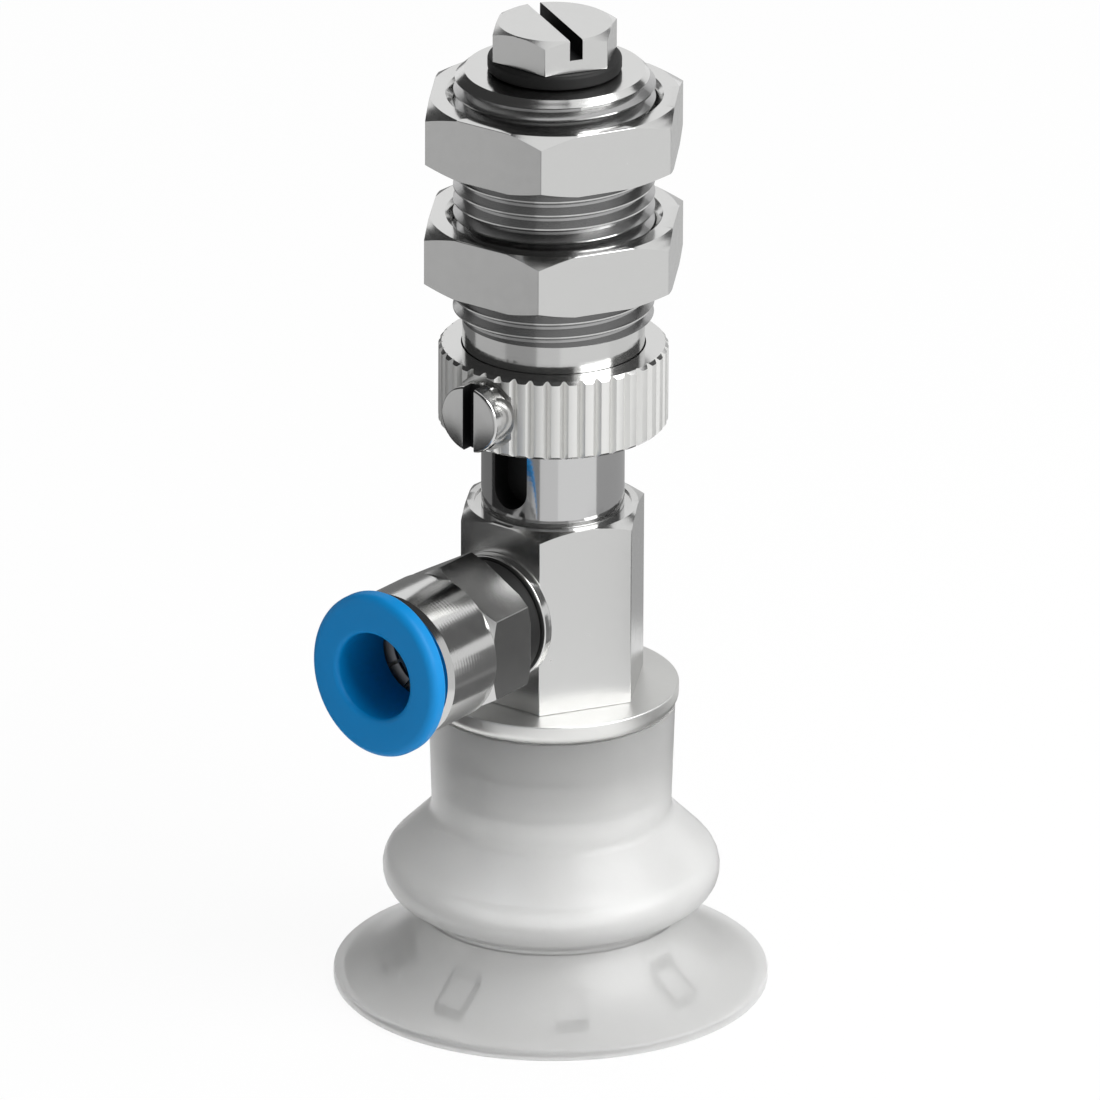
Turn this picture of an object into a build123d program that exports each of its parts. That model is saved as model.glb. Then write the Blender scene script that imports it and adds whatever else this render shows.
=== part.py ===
from build123d import *
import math
import os

# Vacuum gripper: a bellows suction cup on a sprung plunger that slides in a threaded sleeve.
# Millimetres. The lip of the cup lies at z = 0, Z runs up the plunger, the tube port points along -Y.

os.makedirs("parts", exist_ok=True)

# Clearances
running_clearance = 0.05      # radial, between pieces that slide or turn on each other
seat_clearance = 0.03         # radial, between pieces that are screwed or pressed together
stop_clearance = 0.05         # axial, between the end stop and the sleeve at rest

# Hexagons
corner_angle = 30.0           # degrees, between a hexagon's end face and its turned corners

# Stack of heights along the plunger
cup_height = 21.0
plate_thickness = 1.5
stroke = 6.0
stroke_reserve = 0.15
collar_length = 5.75
relief_length = 2.1
thread_length = 17.4
sleeve_tip_length = 0.7
stop_washer_thickness = 1.0
head_height = 2.4

# Suction cup
rim_radius = 15.3
rim_height = 0.7
rim_rounding = 0.25
fold_radius = 11.85
fold_height = 8.5
fold_rounding = 2.1
fold_wall = 1.1
shoulder_slope = 45.0         # degrees from the horizontal, above the fold
underside_slope = 28.0        # degrees from the horizontal, below the fold
groove_radius = 9.0
groove_rounding = 0.4
lip_curve_radius = 11.6
lip_wall = 1.0
neck_top_radius = 8.65
neck_foot_radius = 8.4
neck_foot_rounding = 1.2
neck_wall = 1.5
neck_bore_length = 1.736      # free bore between the fold and the spigot's tip
cleat_count = 8
cleat_width = 2.2
cleat_length = 2.5
cleat_inner_radius = 9.3
cleat_depth = 0.8
cleat_root = 0.3              # how far a cleat grows out of the lip's wall

# Cup plate and the hollow screw that holds it
plate_radius = 8.9
plate_edge_rounding = 0.8
plate_top_chamfer = 0.15
spigot_radius = 5.4
barb_radius = 6.2
barb_length = 1.8
barb_land = 0.4
barb_from_tip = 0.7
cup_screw_radius = 3.0
cup_screw_bore = 1.6
cup_screw_engagement = 3.6
cup_screw_head_radius = 4.1
cup_screw_head_height = 2.2
cup_screw_socket_flats = 4.0
cup_screw_socket_depth = 1.4
cup_screw_head_recess = 0.8

# Flat sealing rings in the port body's two end faces
seal_width = 0.8
seal_thickness = 0.8
seal_land = 0.7              # metal between a threaded hole and its seal's groove
rod_seal_width = 0.65
rod_seal_land = 0.15

# Hexagonal port body
body_flats = 12.0
body_corner_drop = 0.6
foot_recess_margin = 0.5
foot_recess_depth = 0.15
port_above_plate = 2.2        # from the plate to the washer behind the fitting
port_web = 0.85               # metal between the fitting's thread and the rod's stub
port_thread_radius = 2.5
port_thread_depth = 3.8
port_passage_radius = 1.4

# Plunger rod
rod_radius = 5.0
rod_top_chamfer = 0.5
rod_guide_above_collar = 4.1
stub_radius = 4.0
stub_length = 3.2
stem_radius = 2.5
keyway_width = 2.8
keyway_depth = 1.7
keyway_from_foot = 0.9
keyway_above_screw = 3.0

# Guide collar and its screw
collar_wall = 1.57
collar_edge_chamfer = 0.3
collar_lip = 0.85
collar_lip_clearance = 0.15
flute_count = 42
flute_side = 0.48
guide_screw_above_collar_foot = 2.85
guide_screw_radius = 1.5
guide_screw_tip_radius = 1.3
guide_screw_tip_length = 1.6
guide_screw_tip_gap = 0.2
guide_screw_head_radius = 2.4
guide_screw_head_height = 2.1
guide_screw_head_rounding = 0.2
guide_screw_slot_width = 0.95
guide_screw_slot_depth = 0.9
spot_face_radius = 2.65
spot_face_depth = 0.43

# Threaded sleeve and its bushes
thread_radius = 7.0
thread_depth = 0.6
sleeve_tip_chamfer = 0.75
sleeve_bore_clearance = 0.1
end_wall = 3.0
lower_bush_wall = 0.55
lower_bush_length = 6.0
upper_bush_wall = 0.75
bush_chamfer = 0.15

# Lock nuts
nut_flats = 17.0
nut_height = 4.5
nut_corner_drop = 0.7
nut_bore_chamfer = 0.5
lower_nut_above_thread_start = 3.0
nut_gap = 4.35
lower_nut_turn = 1.3          # degrees
upper_nut_turn = 2.2          # degrees

# End stop
stop_washer_radius = 4.65
stop_washer_chamfer = 0.2
head_flats = 8.0
head_corner_drop = 0.45
head_turn = -0.9              # degrees
head_slot_face = -30.0        # degrees from +X, the hexagon face that the slot runs out through
head_slot_width = 0.95
head_slot_depth = 1.45
head_shank_radius = 1.5
head_shank_length = 7.0
tapped_hole_reserve = 0.6

# Spring
spring_wire_radius = 0.4
spring_mean_radius = 3.9
spring_coils = 6.0

# Push-in fitting, measured outwards from the hexagon's face
fitting_washer_thickness = 0.8
fitting_washer_radius = 4.6
fitting_seal_thickness = 2.15
fitting_seal_radius = 4.4
fitting_pilot_radius = 3.0
fitting_hex_length = 4.25
fitting_flats = 10.0
fitting_turn = 30.0           # degrees, so that a corner of the hexagon is at the top
fitting_corner_drop = 0.4
fitting_barrel_length = 5.0
fitting_barrel_radius = 5.25
fitting_rim_chamfer = 0.35
tube_radius = 3.0
tube_clearance = 0.1
tube_stop_from_hex = 1.4
tube_seat_length = 1.0
tube_seal_length = 1.9
tube_seal_wall = 1.25
tube_seal_rounding = 0.4
spacer_thickness = 0.6
spacer_inner_clearance = 0.25
cavity_radius = 4.5
claw_sheet = 0.25
claw_rim_width = 0.45
claw_dish = 0.5
claw_slots = 12
claw_slot_width = 0.25
claw_slot_root = 0.15         # sheet between the end of a slot and the claw's flat rim
bush_lead_in = 0.25
ring_sleeve_wall = 0.65
ring_sleeve_gap = 0.6         # from the claw's rim to the nose of the release ring
ring_press_gap = 0.8
ring_thickness = 1.4
ring_half_width = 5.45
ring_half_height = 5.95
ring_front_rounding = 0.6
ring_back_rounding = 0.25
ring_mouth_rounding = 0.4

# Heights that follow from the stack
plate_bottom = cup_height
plate_top = plate_bottom + plate_thickness
port_height = plate_top + port_above_plate + fitting_washer_radius
stub_bottom = port_height + port_thread_radius + port_web
rod_foot = stub_bottom + stub_length
body_top = rod_foot + foot_recess_depth
collar_bottom = body_top + stroke + stroke_reserve
collar_top = collar_bottom + collar_length
spigot_bottom = collar_bottom + collar_lip
thread_start = collar_top + relief_length
thread_end = thread_start + thread_length
sleeve_top = thread_end + sleeve_tip_length
end_wall_bottom = sleeve_top - end_wall
stop_bottom = sleeve_top + stop_clearance
head_bottom = stop_bottom + stop_washer_thickness
head_top = head_bottom + head_height
lower_bush_top = spigot_bottom + lower_bush_length
rod_top = collar_top + rod_guide_above_collar
lower_nut_bottom = thread_start + lower_nut_above_thread_start
upper_nut_bottom = lower_nut_bottom + nut_height + nut_gap
guide_height = collar_bottom + guide_screw_above_collar_foot

# Radii that follow from the fits
thread_root_radius = thread_radius - thread_depth
collar_bore = thread_root_radius + seat_clearance
collar_radius = collar_bore + collar_wall
lower_bush_bore = rod_radius + running_clearance
lower_bush_radius = lower_bush_bore + lower_bush_wall
upper_bush_bore = stem_radius + running_clearance
upper_bush_radius = upper_bush_bore + upper_bush_wall

# Places along the port, outwards from the axis of the gripper
port_face = body_flats / 2
fitting_washer_end = port_face + fitting_washer_thickness
fitting_hex_start = fitting_washer_end + fitting_seal_thickness
fitting_hex_end = fitting_hex_start + fitting_hex_length
fitting_end = fitting_hex_end + fitting_barrel_length
tube_stop = fitting_hex_start + tube_stop_from_hex
tube_seal_start = tube_stop + tube_seat_length
spacer_start = tube_seal_start + tube_seal_length
claw_start = spacer_start + spacer_thickness
claw_end = claw_start + claw_dish + claw_sheet
ring_nose = claw_end + ring_sleeve_gap
ring_back = fitting_end + ring_press_gap
ring_front = ring_back + ring_thickness
tube_bore_radius = tube_radius + tube_clearance

# Planes: profiles are drawn as radius and height, or as radius and distance along the port
upright_section = Plane.XZ
port_section = Plane(origin=(0, 0, port_height), x_dir=(1, 0, 0), z_dir=(0, 0, -1))
port_axis = Axis((0, 0, port_height), (0, -1, 0))


def port_plane(distance):
    """Plane across the port at a distance from the gripper's axis, facing outwards."""
    return Plane(origin=(0, -distance, port_height), x_dir=(1, 0, 0), z_dir=(0, -1, 0))


def guide_plane(distance):
    """Plane across the guide screw at a distance from the gripper's axis, facing outwards."""
    return Plane(origin=(0, -distance, guide_height), x_dir=(1, 0, 0), z_dir=(0, -1, 0))


def turn_profile(section, axis, points, mode=Mode.ADD):
    """Turn a closed outline of straight lines about an axis."""
    with BuildSketch(section) as outline:
        with BuildLine():
            Polyline(*points, close=True)
        make_face()
    revolve(outline.sketch, axis=axis, mode=mode)


def ring(bottom, height, inner_radius, outer_radius):
    """Add a flat ring about the Z axis."""
    with BuildSketch(Plane.XY.offset(bottom)) as outline:
        Circle(outer_radius)
        Circle(inner_radius, mode=Mode.SUBTRACT)
    extrude(outline.sketch, amount=height)


def port_ring(start, length, inner_radius, outer_radius):
    """Add a flat ring about the port's axis."""
    with BuildSketch(port_plane(start)) as outline:
        Circle(outer_radius)
        Circle(inner_radius, mode=Mode.SUBTRACT)
    extrude(outline.sketch, amount=length)


def hexagon_bar(foot, length, flats, turn=0.0):
    """Add a length of hexagon bar that stands on a plane."""
    with BuildSketch(foot) as bar:
        RegularPolygon(flats / 2, 6, major_radius=False, rotation=turn)
    extrude(bar.sketch, amount=length)


def turn_corners(section, axis, end, inwards, flats, drop):
    """Turn the corners of a hexagon bar off to a cone, from one end inwards."""
    corner = flats / math.sqrt(3)
    run = drop / math.tan(math.radians(corner_angle))
    turn_profile(
        section,
        axis,
        [(corner - run, end), (corner + run, end), (corner + run, end + inwards * 2 * drop)],
        mode=Mode.SUBTRACT,
    )


def break_ring_edges(part, amount):
    """Chamfer the four round edges of a plain ring."""
    chamfer(part.edges().filter_by(GeomType.CIRCLE), amount)


def write(part, label):
    """Name a finished piece and write its STEP file."""
    part.label = label
    export_step(part, f"parts/{label}.step")


# Suction cup: both faces of the bellows are the same curve, drawn at two depths
neck_foot_bore = neck_foot_radius - neck_wall
neck_bore = spigot_radius + running_clearance
lip_inner_curve = lip_curve_radius + lip_wall


def fold_curve(depth):
    """Draw the crest of the fold as an arc that lies at a depth inside the outer face."""
    return CenterArc(
        (fold_radius - fold_rounding, fold_height),
        fold_rounding - depth,
        underside_slope - 90,
        180 - underside_slope - shoulder_slope,
    )


def shoulder_foot(crest, radius):
    """Point where the straight shoulder above a crest reaches a radius."""
    rise = (crest.X - radius) * math.tan(math.radians(shoulder_slope))
    return Vector(radius, crest.Y + rise)


def underside_foot(crest, radius):
    """Point where the straight underside below a crest reaches a radius."""
    drop = (crest.X - radius) * math.tan(math.radians(underside_slope))
    return Vector(radius, crest.Y - drop)


spigot_tip = shoulder_foot(fold_curve(fold_wall) @ 1, neck_foot_bore).Y + neck_bore_length
barb_bottom = spigot_tip + barb_from_tip
barb_top = barb_bottom + barb_length


with BuildPart() as suction_cup:
    with BuildSketch(upright_section) as wall:
        with BuildLine():
            outer_fold = fold_curve(0)
            outer_neck_foot = shoulder_foot(outer_fold @ 1, neck_foot_radius)
            outer_groove = underside_foot(outer_fold @ 0, groove_radius)
            Polyline(outer_fold @ 1, outer_neck_foot, (neck_top_radius, plate_bottom))
            Line(outer_fold @ 0, outer_groove)
            outer_lip = RadiusArc(outer_groove, (rim_radius, rim_height), -lip_curve_radius)
            lip_centre = outer_lip.arc_center
            inner_fold = fold_curve(fold_wall)
            inner_neck_foot = shoulder_foot(inner_fold @ 1, neck_foot_bore)
            neck_step = Vector(neck_foot_bore, spigot_tip)
            Polyline(
                inner_fold @ 1,
                inner_neck_foot,
                neck_step,
                (neck_bore, spigot_tip),
                (neck_bore, plate_bottom),
                (neck_top_radius, plate_bottom),
            )
            inner_groove_low = outer_groove + (outer_groove - lip_centre).normalized() * lip_wall
            inner_groove_high = underside_foot(inner_fold @ 0, inner_groove_low.X)
            Polyline(inner_fold @ 0, inner_groove_high, inner_groove_low)
            lip_foot = Vector(lip_centre.X - math.sqrt(lip_inner_curve**2 - lip_centre.Y**2), 0)
            RadiusArc(inner_groove_low, lip_foot, -lip_inner_curve)
            Polyline(lip_foot, (rim_radius, 0), (rim_radius, rim_height))
        make_face()
        for corner, radius in (
            (outer_neck_foot, neck_foot_rounding),
            (inner_neck_foot, neck_foot_rounding),
            (neck_step, groove_rounding),
            (outer_groove, groove_rounding),
            (inner_groove_high, groove_rounding),
            (inner_groove_low, groove_rounding),
            (Vector(rim_radius, rim_height), rim_rounding),
        ):
            fillet(wall.vertices().sort_by_distance(corner)[0], radius)
    revolve(axis=Axis.Z)
    # Recess that grips the spigot's barb
    turn_profile(
        upright_section,
        Axis.Z,
        [
            (0, barb_bottom - running_clearance),
            (neck_bore, barb_bottom - running_clearance),
            (barb_radius + running_clearance, barb_top - barb_land - running_clearance),
            (barb_radius + running_clearance, barb_top + running_clearance),
            (0, barb_top + running_clearance),
        ],
        mode=Mode.SUBTRACT,
    )
    # Cleats under the lip keep a thin sheet from being drawn into the cup
    for number in range(cleat_count):
        with BuildSketch(upright_section.rotated((0, 0, number * 360 / cleat_count))):
            with Locations(lip_centre):
                Circle(lip_inner_curve + cleat_depth)
                Circle(lip_inner_curve - cleat_root, mode=Mode.SUBTRACT)
            with Locations((cleat_inner_radius, 0)):
                Rectangle(
                    cleat_length,
                    lip_centre.Y,
                    align=(Align.MIN, Align.MIN),
                    mode=Mode.INTERSECT,
                )
        extrude(amount=cleat_width / 2, both=True)
write(suction_cup.part, "suction_cup")


# Cup plate: a flange with a barbed spigot that holds the neck of the cup
with BuildPart() as cup_plate:
    screw_hole = cup_screw_radius + seat_clearance
    head_hole = cup_screw_head_radius + 2 * seat_clearance
    head_seat = spigot_tip + cup_screw_head_recess + cup_screw_head_height
    turn_profile(
        upright_section,
        Axis.Z,
        [
            (screw_hole, plate_top),
            (plate_radius, plate_top),
            (plate_radius, plate_bottom),
            (spigot_radius, plate_bottom),
            (spigot_radius, barb_top),
            (barb_radius, barb_top),
            (barb_radius, barb_top - barb_land),
            (spigot_radius, barb_bottom),
            (spigot_radius, spigot_tip),
            (head_hole, spigot_tip),
            (head_hole, head_seat),
            (screw_hole, head_seat),
        ],
    )
    rims = cup_plate.edges().filter_by(GeomType.CIRCLE).sort_by(SortBy.RADIUS)[-2:].sort_by(Axis.Z)
    fillet(rims[0], plate_edge_rounding)
    chamfer(rims[1], plate_top_chamfer)
write(cup_plate.part, "cup_plate")


# Hollow screw that clamps the cup plate to the port body
with BuildPart() as cup_screw:
    cup_screw_head = head_seat - cup_screw_head_height
    cup_screw_tip = plate_top + cup_screw_engagement
    turn_profile(
        upright_section,
        Axis.Z,
        [
            (cup_screw_bore, cup_screw_head),
            (cup_screw_head_radius, cup_screw_head),
            (cup_screw_head_radius, head_seat),
            (cup_screw_radius, head_seat),
            (cup_screw_radius, cup_screw_tip),
            (cup_screw_bore, cup_screw_tip),
        ],
    )
    with BuildSketch(Plane.XY.offset(cup_screw_head)):
        RegularPolygon(cup_screw_socket_flats / 2, 6, major_radius=False)
    extrude(amount=cup_screw_socket_depth, mode=Mode.SUBTRACT)
write(cup_screw.part, "cup_screw")


# Flat seals in the end faces of the port body
plate_seal_inner = cup_screw_radius + seal_land
rod_seal_inner = stub_radius + rod_seal_land

with BuildPart() as plate_seal:
    ring(plate_top, seal_thickness, plate_seal_inner, plate_seal_inner + seal_width)
write(plate_seal.part, "plate_seal")

with BuildPart() as rod_seal:
    ring(rod_foot - seal_thickness, seal_thickness, rod_seal_inner, rod_seal_inner + rod_seal_width)
write(rod_seal.part, "rod_seal")


# Port body: hexagon bar with threaded holes for the cup, the plunger rod and the fitting
with BuildPart() as port_body:
    hexagon_bar(Plane.XY.offset(plate_top), body_top - plate_top, body_flats)
    turn_corners(upright_section, Axis.Z, body_top, -1, body_flats, body_corner_drop)
    with Locations((0, 0, body_top)):
        CounterBoreHole(
            stub_radius + seat_clearance,
            rod_radius + foot_recess_margin,
            foot_recess_depth,
            depth=foot_recess_depth + stub_length + seat_clearance,
        )
    with Locations((0, 0, rod_foot)):
        Hole(rod_seal_inner + rod_seal_width + seat_clearance, depth=seal_thickness)
    with Locations(Plane(origin=(0, 0, plate_top), z_dir=(0, 0, -1))):
        Hole(cup_screw_radius + seat_clearance, depth=cup_screw_engagement + seat_clearance)
        Hole(cup_screw_bore, depth=port_height - plate_top)
    with BuildSketch(Plane.XY.offset(plate_top)):
        Circle(plate_seal_inner + seal_width + seat_clearance)
        Circle(plate_seal_inner - seat_clearance, mode=Mode.SUBTRACT)
    extrude(amount=seal_thickness, mode=Mode.SUBTRACT)
    with Locations(port_plane(port_face)):
        Hole(port_thread_radius + seat_clearance, depth=port_thread_depth)
        Hole(port_passage_radius, depth=port_face)
write(port_body.part, "port_body")


# Plunger rod with its threaded stub, its keyway and the stem that carries the end stop
with BuildPart() as plunger_rod:
    turn_profile(
        upright_section,
        Axis.Z,
        [
            (0, stub_bottom),
            (stub_radius, stub_bottom),
            (stub_radius, rod_foot),
            (rod_radius, rod_foot),
            (rod_radius, rod_top - rod_top_chamfer),
            (rod_radius - rod_top_chamfer, rod_top),
            (stem_radius, rod_top),
            (stem_radius, stop_bottom),
            (0, stop_bottom),
        ],
    )
    keyway_bottom = body_top + keyway_from_foot
    keyway_top = guide_height + keyway_above_screw
    with BuildSketch(Plane.XZ.offset(rod_radius - keyway_depth)):
        with Locations((0, (keyway_bottom + keyway_top) / 2)):
            SlotOverall(keyway_top - keyway_bottom, keyway_width, rotation=90)
    extrude(amount=rod_radius, mode=Mode.SUBTRACT)
    with Locations((0, 0, stop_bottom)):
        Hole(
            head_shank_radius + seat_clearance,
            depth=head_shank_length - stop_washer_thickness + tapped_hole_reserve,
        )
write(plunger_rod.part, "plunger_rod")


# Spring between the rod's shoulder and the sleeve's end wall
with BuildPart() as compression_spring:
    spring_end = spring_wire_radius + seat_clearance
    spring_height = end_wall_bottom - rod_top - 2 * spring_end
    with BuildLine(Plane.XY.offset(rod_top + spring_end)):
        coil = Helix(spring_height / spring_coils, spring_height, spring_mean_radius)
    with BuildSketch(Plane(origin=coil @ 0, z_dir=coil % 0)):
        Circle(spring_wire_radius)
    sweep(path=coil, is_frenet=True)
write(compression_spring.part, "compression_spring")


# Damping washer under the head of the end stop
with BuildPart() as stop_washer:
    ring(stop_bottom, stop_washer_thickness, head_shank_radius + seat_clearance, stop_washer_radius)
    outer_edges = stop_washer.edges().filter_by(GeomType.CIRCLE).sort_by(SortBy.RADIUS)[-2:]
    chamfer(outer_edges, stop_washer_chamfer)
write(stop_washer.part, "stop_washer")


# Slotted hexagon screw that stops the plunger at the end of its travel
with BuildPart() as end_stop_screw:
    hexagon_bar(Plane.XY.offset(head_bottom), head_height, head_flats, head_turn)
    turn_corners(upright_section, Axis.Z, head_top, -1, head_flats, head_corner_drop)
    with BuildSketch(Plane.XY.offset(head_bottom)):
        Circle(head_shank_radius)
    extrude(amount=-head_shank_length)
    with BuildSketch(Plane.XY.offset(head_top)):
        Rectangle(2 * head_flats, head_slot_width, rotation=head_slot_face + head_turn)
    extrude(amount=-head_slot_depth, mode=Mode.SUBTRACT)
write(end_stop_screw.part, "end_stop_screw")


# Threaded sleeve: the spigot goes down into the collar, the end wall carries the upper bush
with BuildPart() as threaded_sleeve:
    turn_profile(
        upright_section,
        Axis.Z,
        [
            (lower_bush_radius + seat_clearance, spigot_bottom),
            (thread_root_radius, spigot_bottom),
            (thread_root_radius, thread_start),
            (thread_radius, thread_start + thread_depth),
            (thread_radius, thread_end),
            (thread_radius - sleeve_tip_chamfer, sleeve_top),
            (upper_bush_radius + seat_clearance, sleeve_top),
            (upper_bush_radius + seat_clearance, end_wall_bottom),
            (rod_radius + sleeve_bore_clearance, end_wall_bottom),
            (rod_radius + sleeve_bore_clearance, lower_bush_top),
            (lower_bush_radius + seat_clearance, lower_bush_top),
        ],
    )
    with BuildSketch(guide_plane(0)):
        Circle(guide_screw_radius + seat_clearance)
    extrude(amount=thread_radius, mode=Mode.SUBTRACT)
write(threaded_sleeve.part, "threaded_sleeve")


# Bushes that guide the rod at the bottom of the sleeve and the stem at its top
with BuildPart() as lower_guide_bush:
    ring(spigot_bottom, lower_bush_length, lower_bush_bore, lower_bush_radius)
    break_ring_edges(lower_guide_bush, bush_chamfer)
    with BuildSketch(guide_plane(0)):
        Circle(guide_screw_radius + seat_clearance)
    extrude(amount=lower_bush_radius, mode=Mode.SUBTRACT)
write(lower_guide_bush.part, "lower_guide_bush")

with BuildPart() as upper_guide_bush:
    ring(end_wall_bottom, end_wall, upper_bush_bore, upper_bush_radius)
    break_ring_edges(upper_guide_bush, bush_chamfer)
write(upper_guide_bush.part, "upper_guide_bush")


# Fluted guide collar, with an inner lip that keeps the lower bush in
with BuildPart() as guide_collar:
    ring(collar_bottom, collar_length, collar_bore, collar_radius)
    chamfer(
        guide_collar.edges().filter_by(GeomType.CIRCLE).sort_by(SortBy.RADIUS)[-2:],
        collar_edge_chamfer,
    )
    ring(collar_bottom, collar_lip, rod_radius + collar_lip_clearance, collar_radius - collar_edge_chamfer)
    with BuildSketch(Plane.XY.offset(collar_bottom)):
        with PolarLocations(collar_radius, flute_count, start_angle=180 / flute_count):
            Rectangle(flute_side, flute_side, rotation=45)
    extrude(amount=collar_length, mode=Mode.SUBTRACT)
    with BuildSketch(guide_plane(collar_radius - spot_face_depth)):
        Circle(spot_face_radius)
    extrude(amount=collar_radius, mode=Mode.SUBTRACT)
    with BuildSketch(guide_plane(0)):
        Circle(guide_screw_radius + seat_clearance)
    extrude(amount=collar_radius, mode=Mode.SUBTRACT)
write(guide_collar.part, "guide_collar")


# Slotted cheese-head screw whose plain tip runs in the rod's keyway
with BuildPart() as guide_screw:
    guide_head = collar_radius - spot_face_depth
    guide_face = guide_head + guide_screw_head_height
    guide_tip = rod_radius - keyway_depth + guide_screw_tip_gap
    with BuildSketch(guide_plane(guide_head)):
        Circle(guide_screw_head_radius)
    extrude(amount=guide_screw_head_height)
    fillet(guide_screw.edges().sort_by(Axis.Y)[0], guide_screw_head_rounding)
    with BuildSketch(guide_plane(guide_tip + guide_screw_tip_length)):
        Circle(guide_screw_radius)
    extrude(amount=guide_head - guide_tip - guide_screw_tip_length)
    with BuildSketch(guide_plane(guide_tip)):
        Circle(guide_screw_tip_radius)
    extrude(amount=guide_screw_tip_length)
    with BuildSketch(guide_plane(guide_face)):
        Rectangle(guide_screw_slot_width, 2 * spot_face_radius)
    extrude(amount=-guide_screw_slot_depth, mode=Mode.SUBTRACT)
write(guide_screw.part, "guide_screw")


# Lock nuts that clamp the gripper in a bracket
def lock_nut(bottom, turn):
    """Add a hexagon nut about the Z axis, turned on its thread by an angle."""
    hexagon_bar(Plane.XY.offset(bottom), nut_height, nut_flats, turn)
    turn_corners(upright_section, Axis.Z, bottom, 1, nut_flats, nut_corner_drop)
    turn_corners(upright_section, Axis.Z, bottom + nut_height, -1, nut_flats, nut_corner_drop)
    with BuildSketch(Plane.XY.offset(bottom)) as bore:
        Circle(thread_radius + running_clearance)
    extrude(bore.sketch, amount=nut_height, mode=Mode.SUBTRACT)


with BuildPart() as lower_lock_nut:
    lock_nut(lower_nut_bottom, lower_nut_turn)
    bore_edges = lower_lock_nut.edges().filter_by(GeomType.CIRCLE).sort_by(SortBy.RADIUS)[:2]
    chamfer(bore_edges, nut_bore_chamfer)
write(lower_lock_nut.part, "lower_lock_nut")

with BuildPart() as upper_lock_nut:
    lock_nut(upper_nut_bottom, upper_nut_turn)
    bore_edges = upper_lock_nut.edges().filter_by(GeomType.CIRCLE).sort_by(SortBy.RADIUS)[:2]
    chamfer(bore_edges, nut_bore_chamfer)
write(upper_lock_nut.part, "upper_lock_nut")


# Sealing pieces between the fitting and the port body
with BuildPart() as fitting_washer:
    port_ring(
        port_face,
        fitting_washer_thickness,
        port_thread_radius + seat_clearance,
        fitting_washer_radius,
    )
write(fitting_washer.part, "fitting_washer")

with BuildPart() as fitting_seal:
    port_ring(
        fitting_washer_end,
        fitting_seal_thickness,
        fitting_pilot_radius + seat_clearance,
        fitting_seal_radius,
    )
write(fitting_seal.part, "fitting_seal")


# Body of the push-in fitting: thread, pilot, hexagon and barrel around the tube's socket
with BuildPart() as fitting_body:
    hexagon_bar(port_plane(fitting_hex_start), fitting_hex_length, fitting_flats, fitting_turn)
    turn_corners(port_section, port_axis, fitting_hex_start, 1, fitting_flats, fitting_corner_drop)
    turn_corners(port_section, port_axis, fitting_hex_end, -1, fitting_flats, fitting_corner_drop)
    turn_profile(
        port_section,
        port_axis,
        [
            (0, port_face - port_thread_depth + seat_clearance),
            (port_thread_radius, port_face - port_thread_depth + seat_clearance),
            (port_thread_radius, fitting_washer_end),
            (fitting_pilot_radius, fitting_washer_end),
            (fitting_pilot_radius, fitting_hex_end - fitting_corner_drop),
            (fitting_barrel_radius, fitting_hex_end - fitting_corner_drop),
            (fitting_barrel_radius, fitting_end - fitting_rim_chamfer),
            (fitting_barrel_radius - fitting_rim_chamfer, fitting_end),
            (0, fitting_end),
        ],
    )
    turn_profile(
        port_section,
        port_axis,
        [
            (0, 0),
            (port_passage_radius, 0),
            (port_passage_radius, tube_stop),
            (tube_bore_radius, tube_stop),
            (tube_bore_radius, tube_seal_start),
            (cavity_radius, tube_seal_start),
            (cavity_radius, fitting_end),
            (0, fitting_end),
        ],
        mode=Mode.SUBTRACT,
    )
write(fitting_body.part, "fitting_body")


# Inside the fitting: lip seal, spacer, gripping claw and the bush that guides the release ring
with BuildPart() as tube_seal:
    port_ring(
        tube_seal_start,
        tube_seal_length,
        tube_bore_radius,
        tube_bore_radius + tube_seal_wall,
    )
    inner_edges = tube_seal.edges().filter_by(GeomType.CIRCLE).sort_by(SortBy.RADIUS)[:2]
    chamfer(inner_edges, tube_seal_rounding)
write(tube_seal.part, "tube_seal")

with BuildPart() as seal_spacer:
    port_ring(
        spacer_start,
        spacer_thickness,
        tube_bore_radius + spacer_inner_clearance,
        cavity_radius - seat_clearance,
    )
write(seal_spacer.part, "seal_spacer")

with BuildPart() as gripping_claw:
    claw_radius = cavity_radius - seat_clearance
    claw_rim_radius = claw_radius - claw_rim_width
    turn_profile(
        port_section,
        port_axis,
        [
            (tube_bore_radius, claw_start),
            (claw_rim_radius, claw_end - claw_sheet),
            (claw_radius, claw_end - claw_sheet),
            (claw_radius, claw_end),
            (claw_rim_radius, claw_end),
            (tube_bore_radius, claw_start + claw_sheet),
        ],
    )
    with BuildSketch(port_plane(claw_start)):
        with PolarLocations(claw_rim_radius - claw_slot_root, claw_slots):
            Rectangle(claw_rim_radius, claw_slot_width, align=(Align.MAX, Align.CENTER))
    extrude(amount=claw_dish + claw_sheet, mode=Mode.SUBTRACT)
write(gripping_claw.part, "gripping_claw")

with BuildPart() as collet_bush:
    port_ring(
        claw_end,
        fitting_end - claw_end,
        tube_bore_radius + ring_sleeve_wall + running_clearance,
        cavity_radius - seat_clearance,
    )
    mouth = collet_bush.edges().filter_by(GeomType.CIRCLE).sort_by(Axis.Y)[:2]
    chamfer(mouth.sort_by(SortBy.RADIUS)[0], bush_lead_in)
write(collet_bush.part, "collet_bush")


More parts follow.
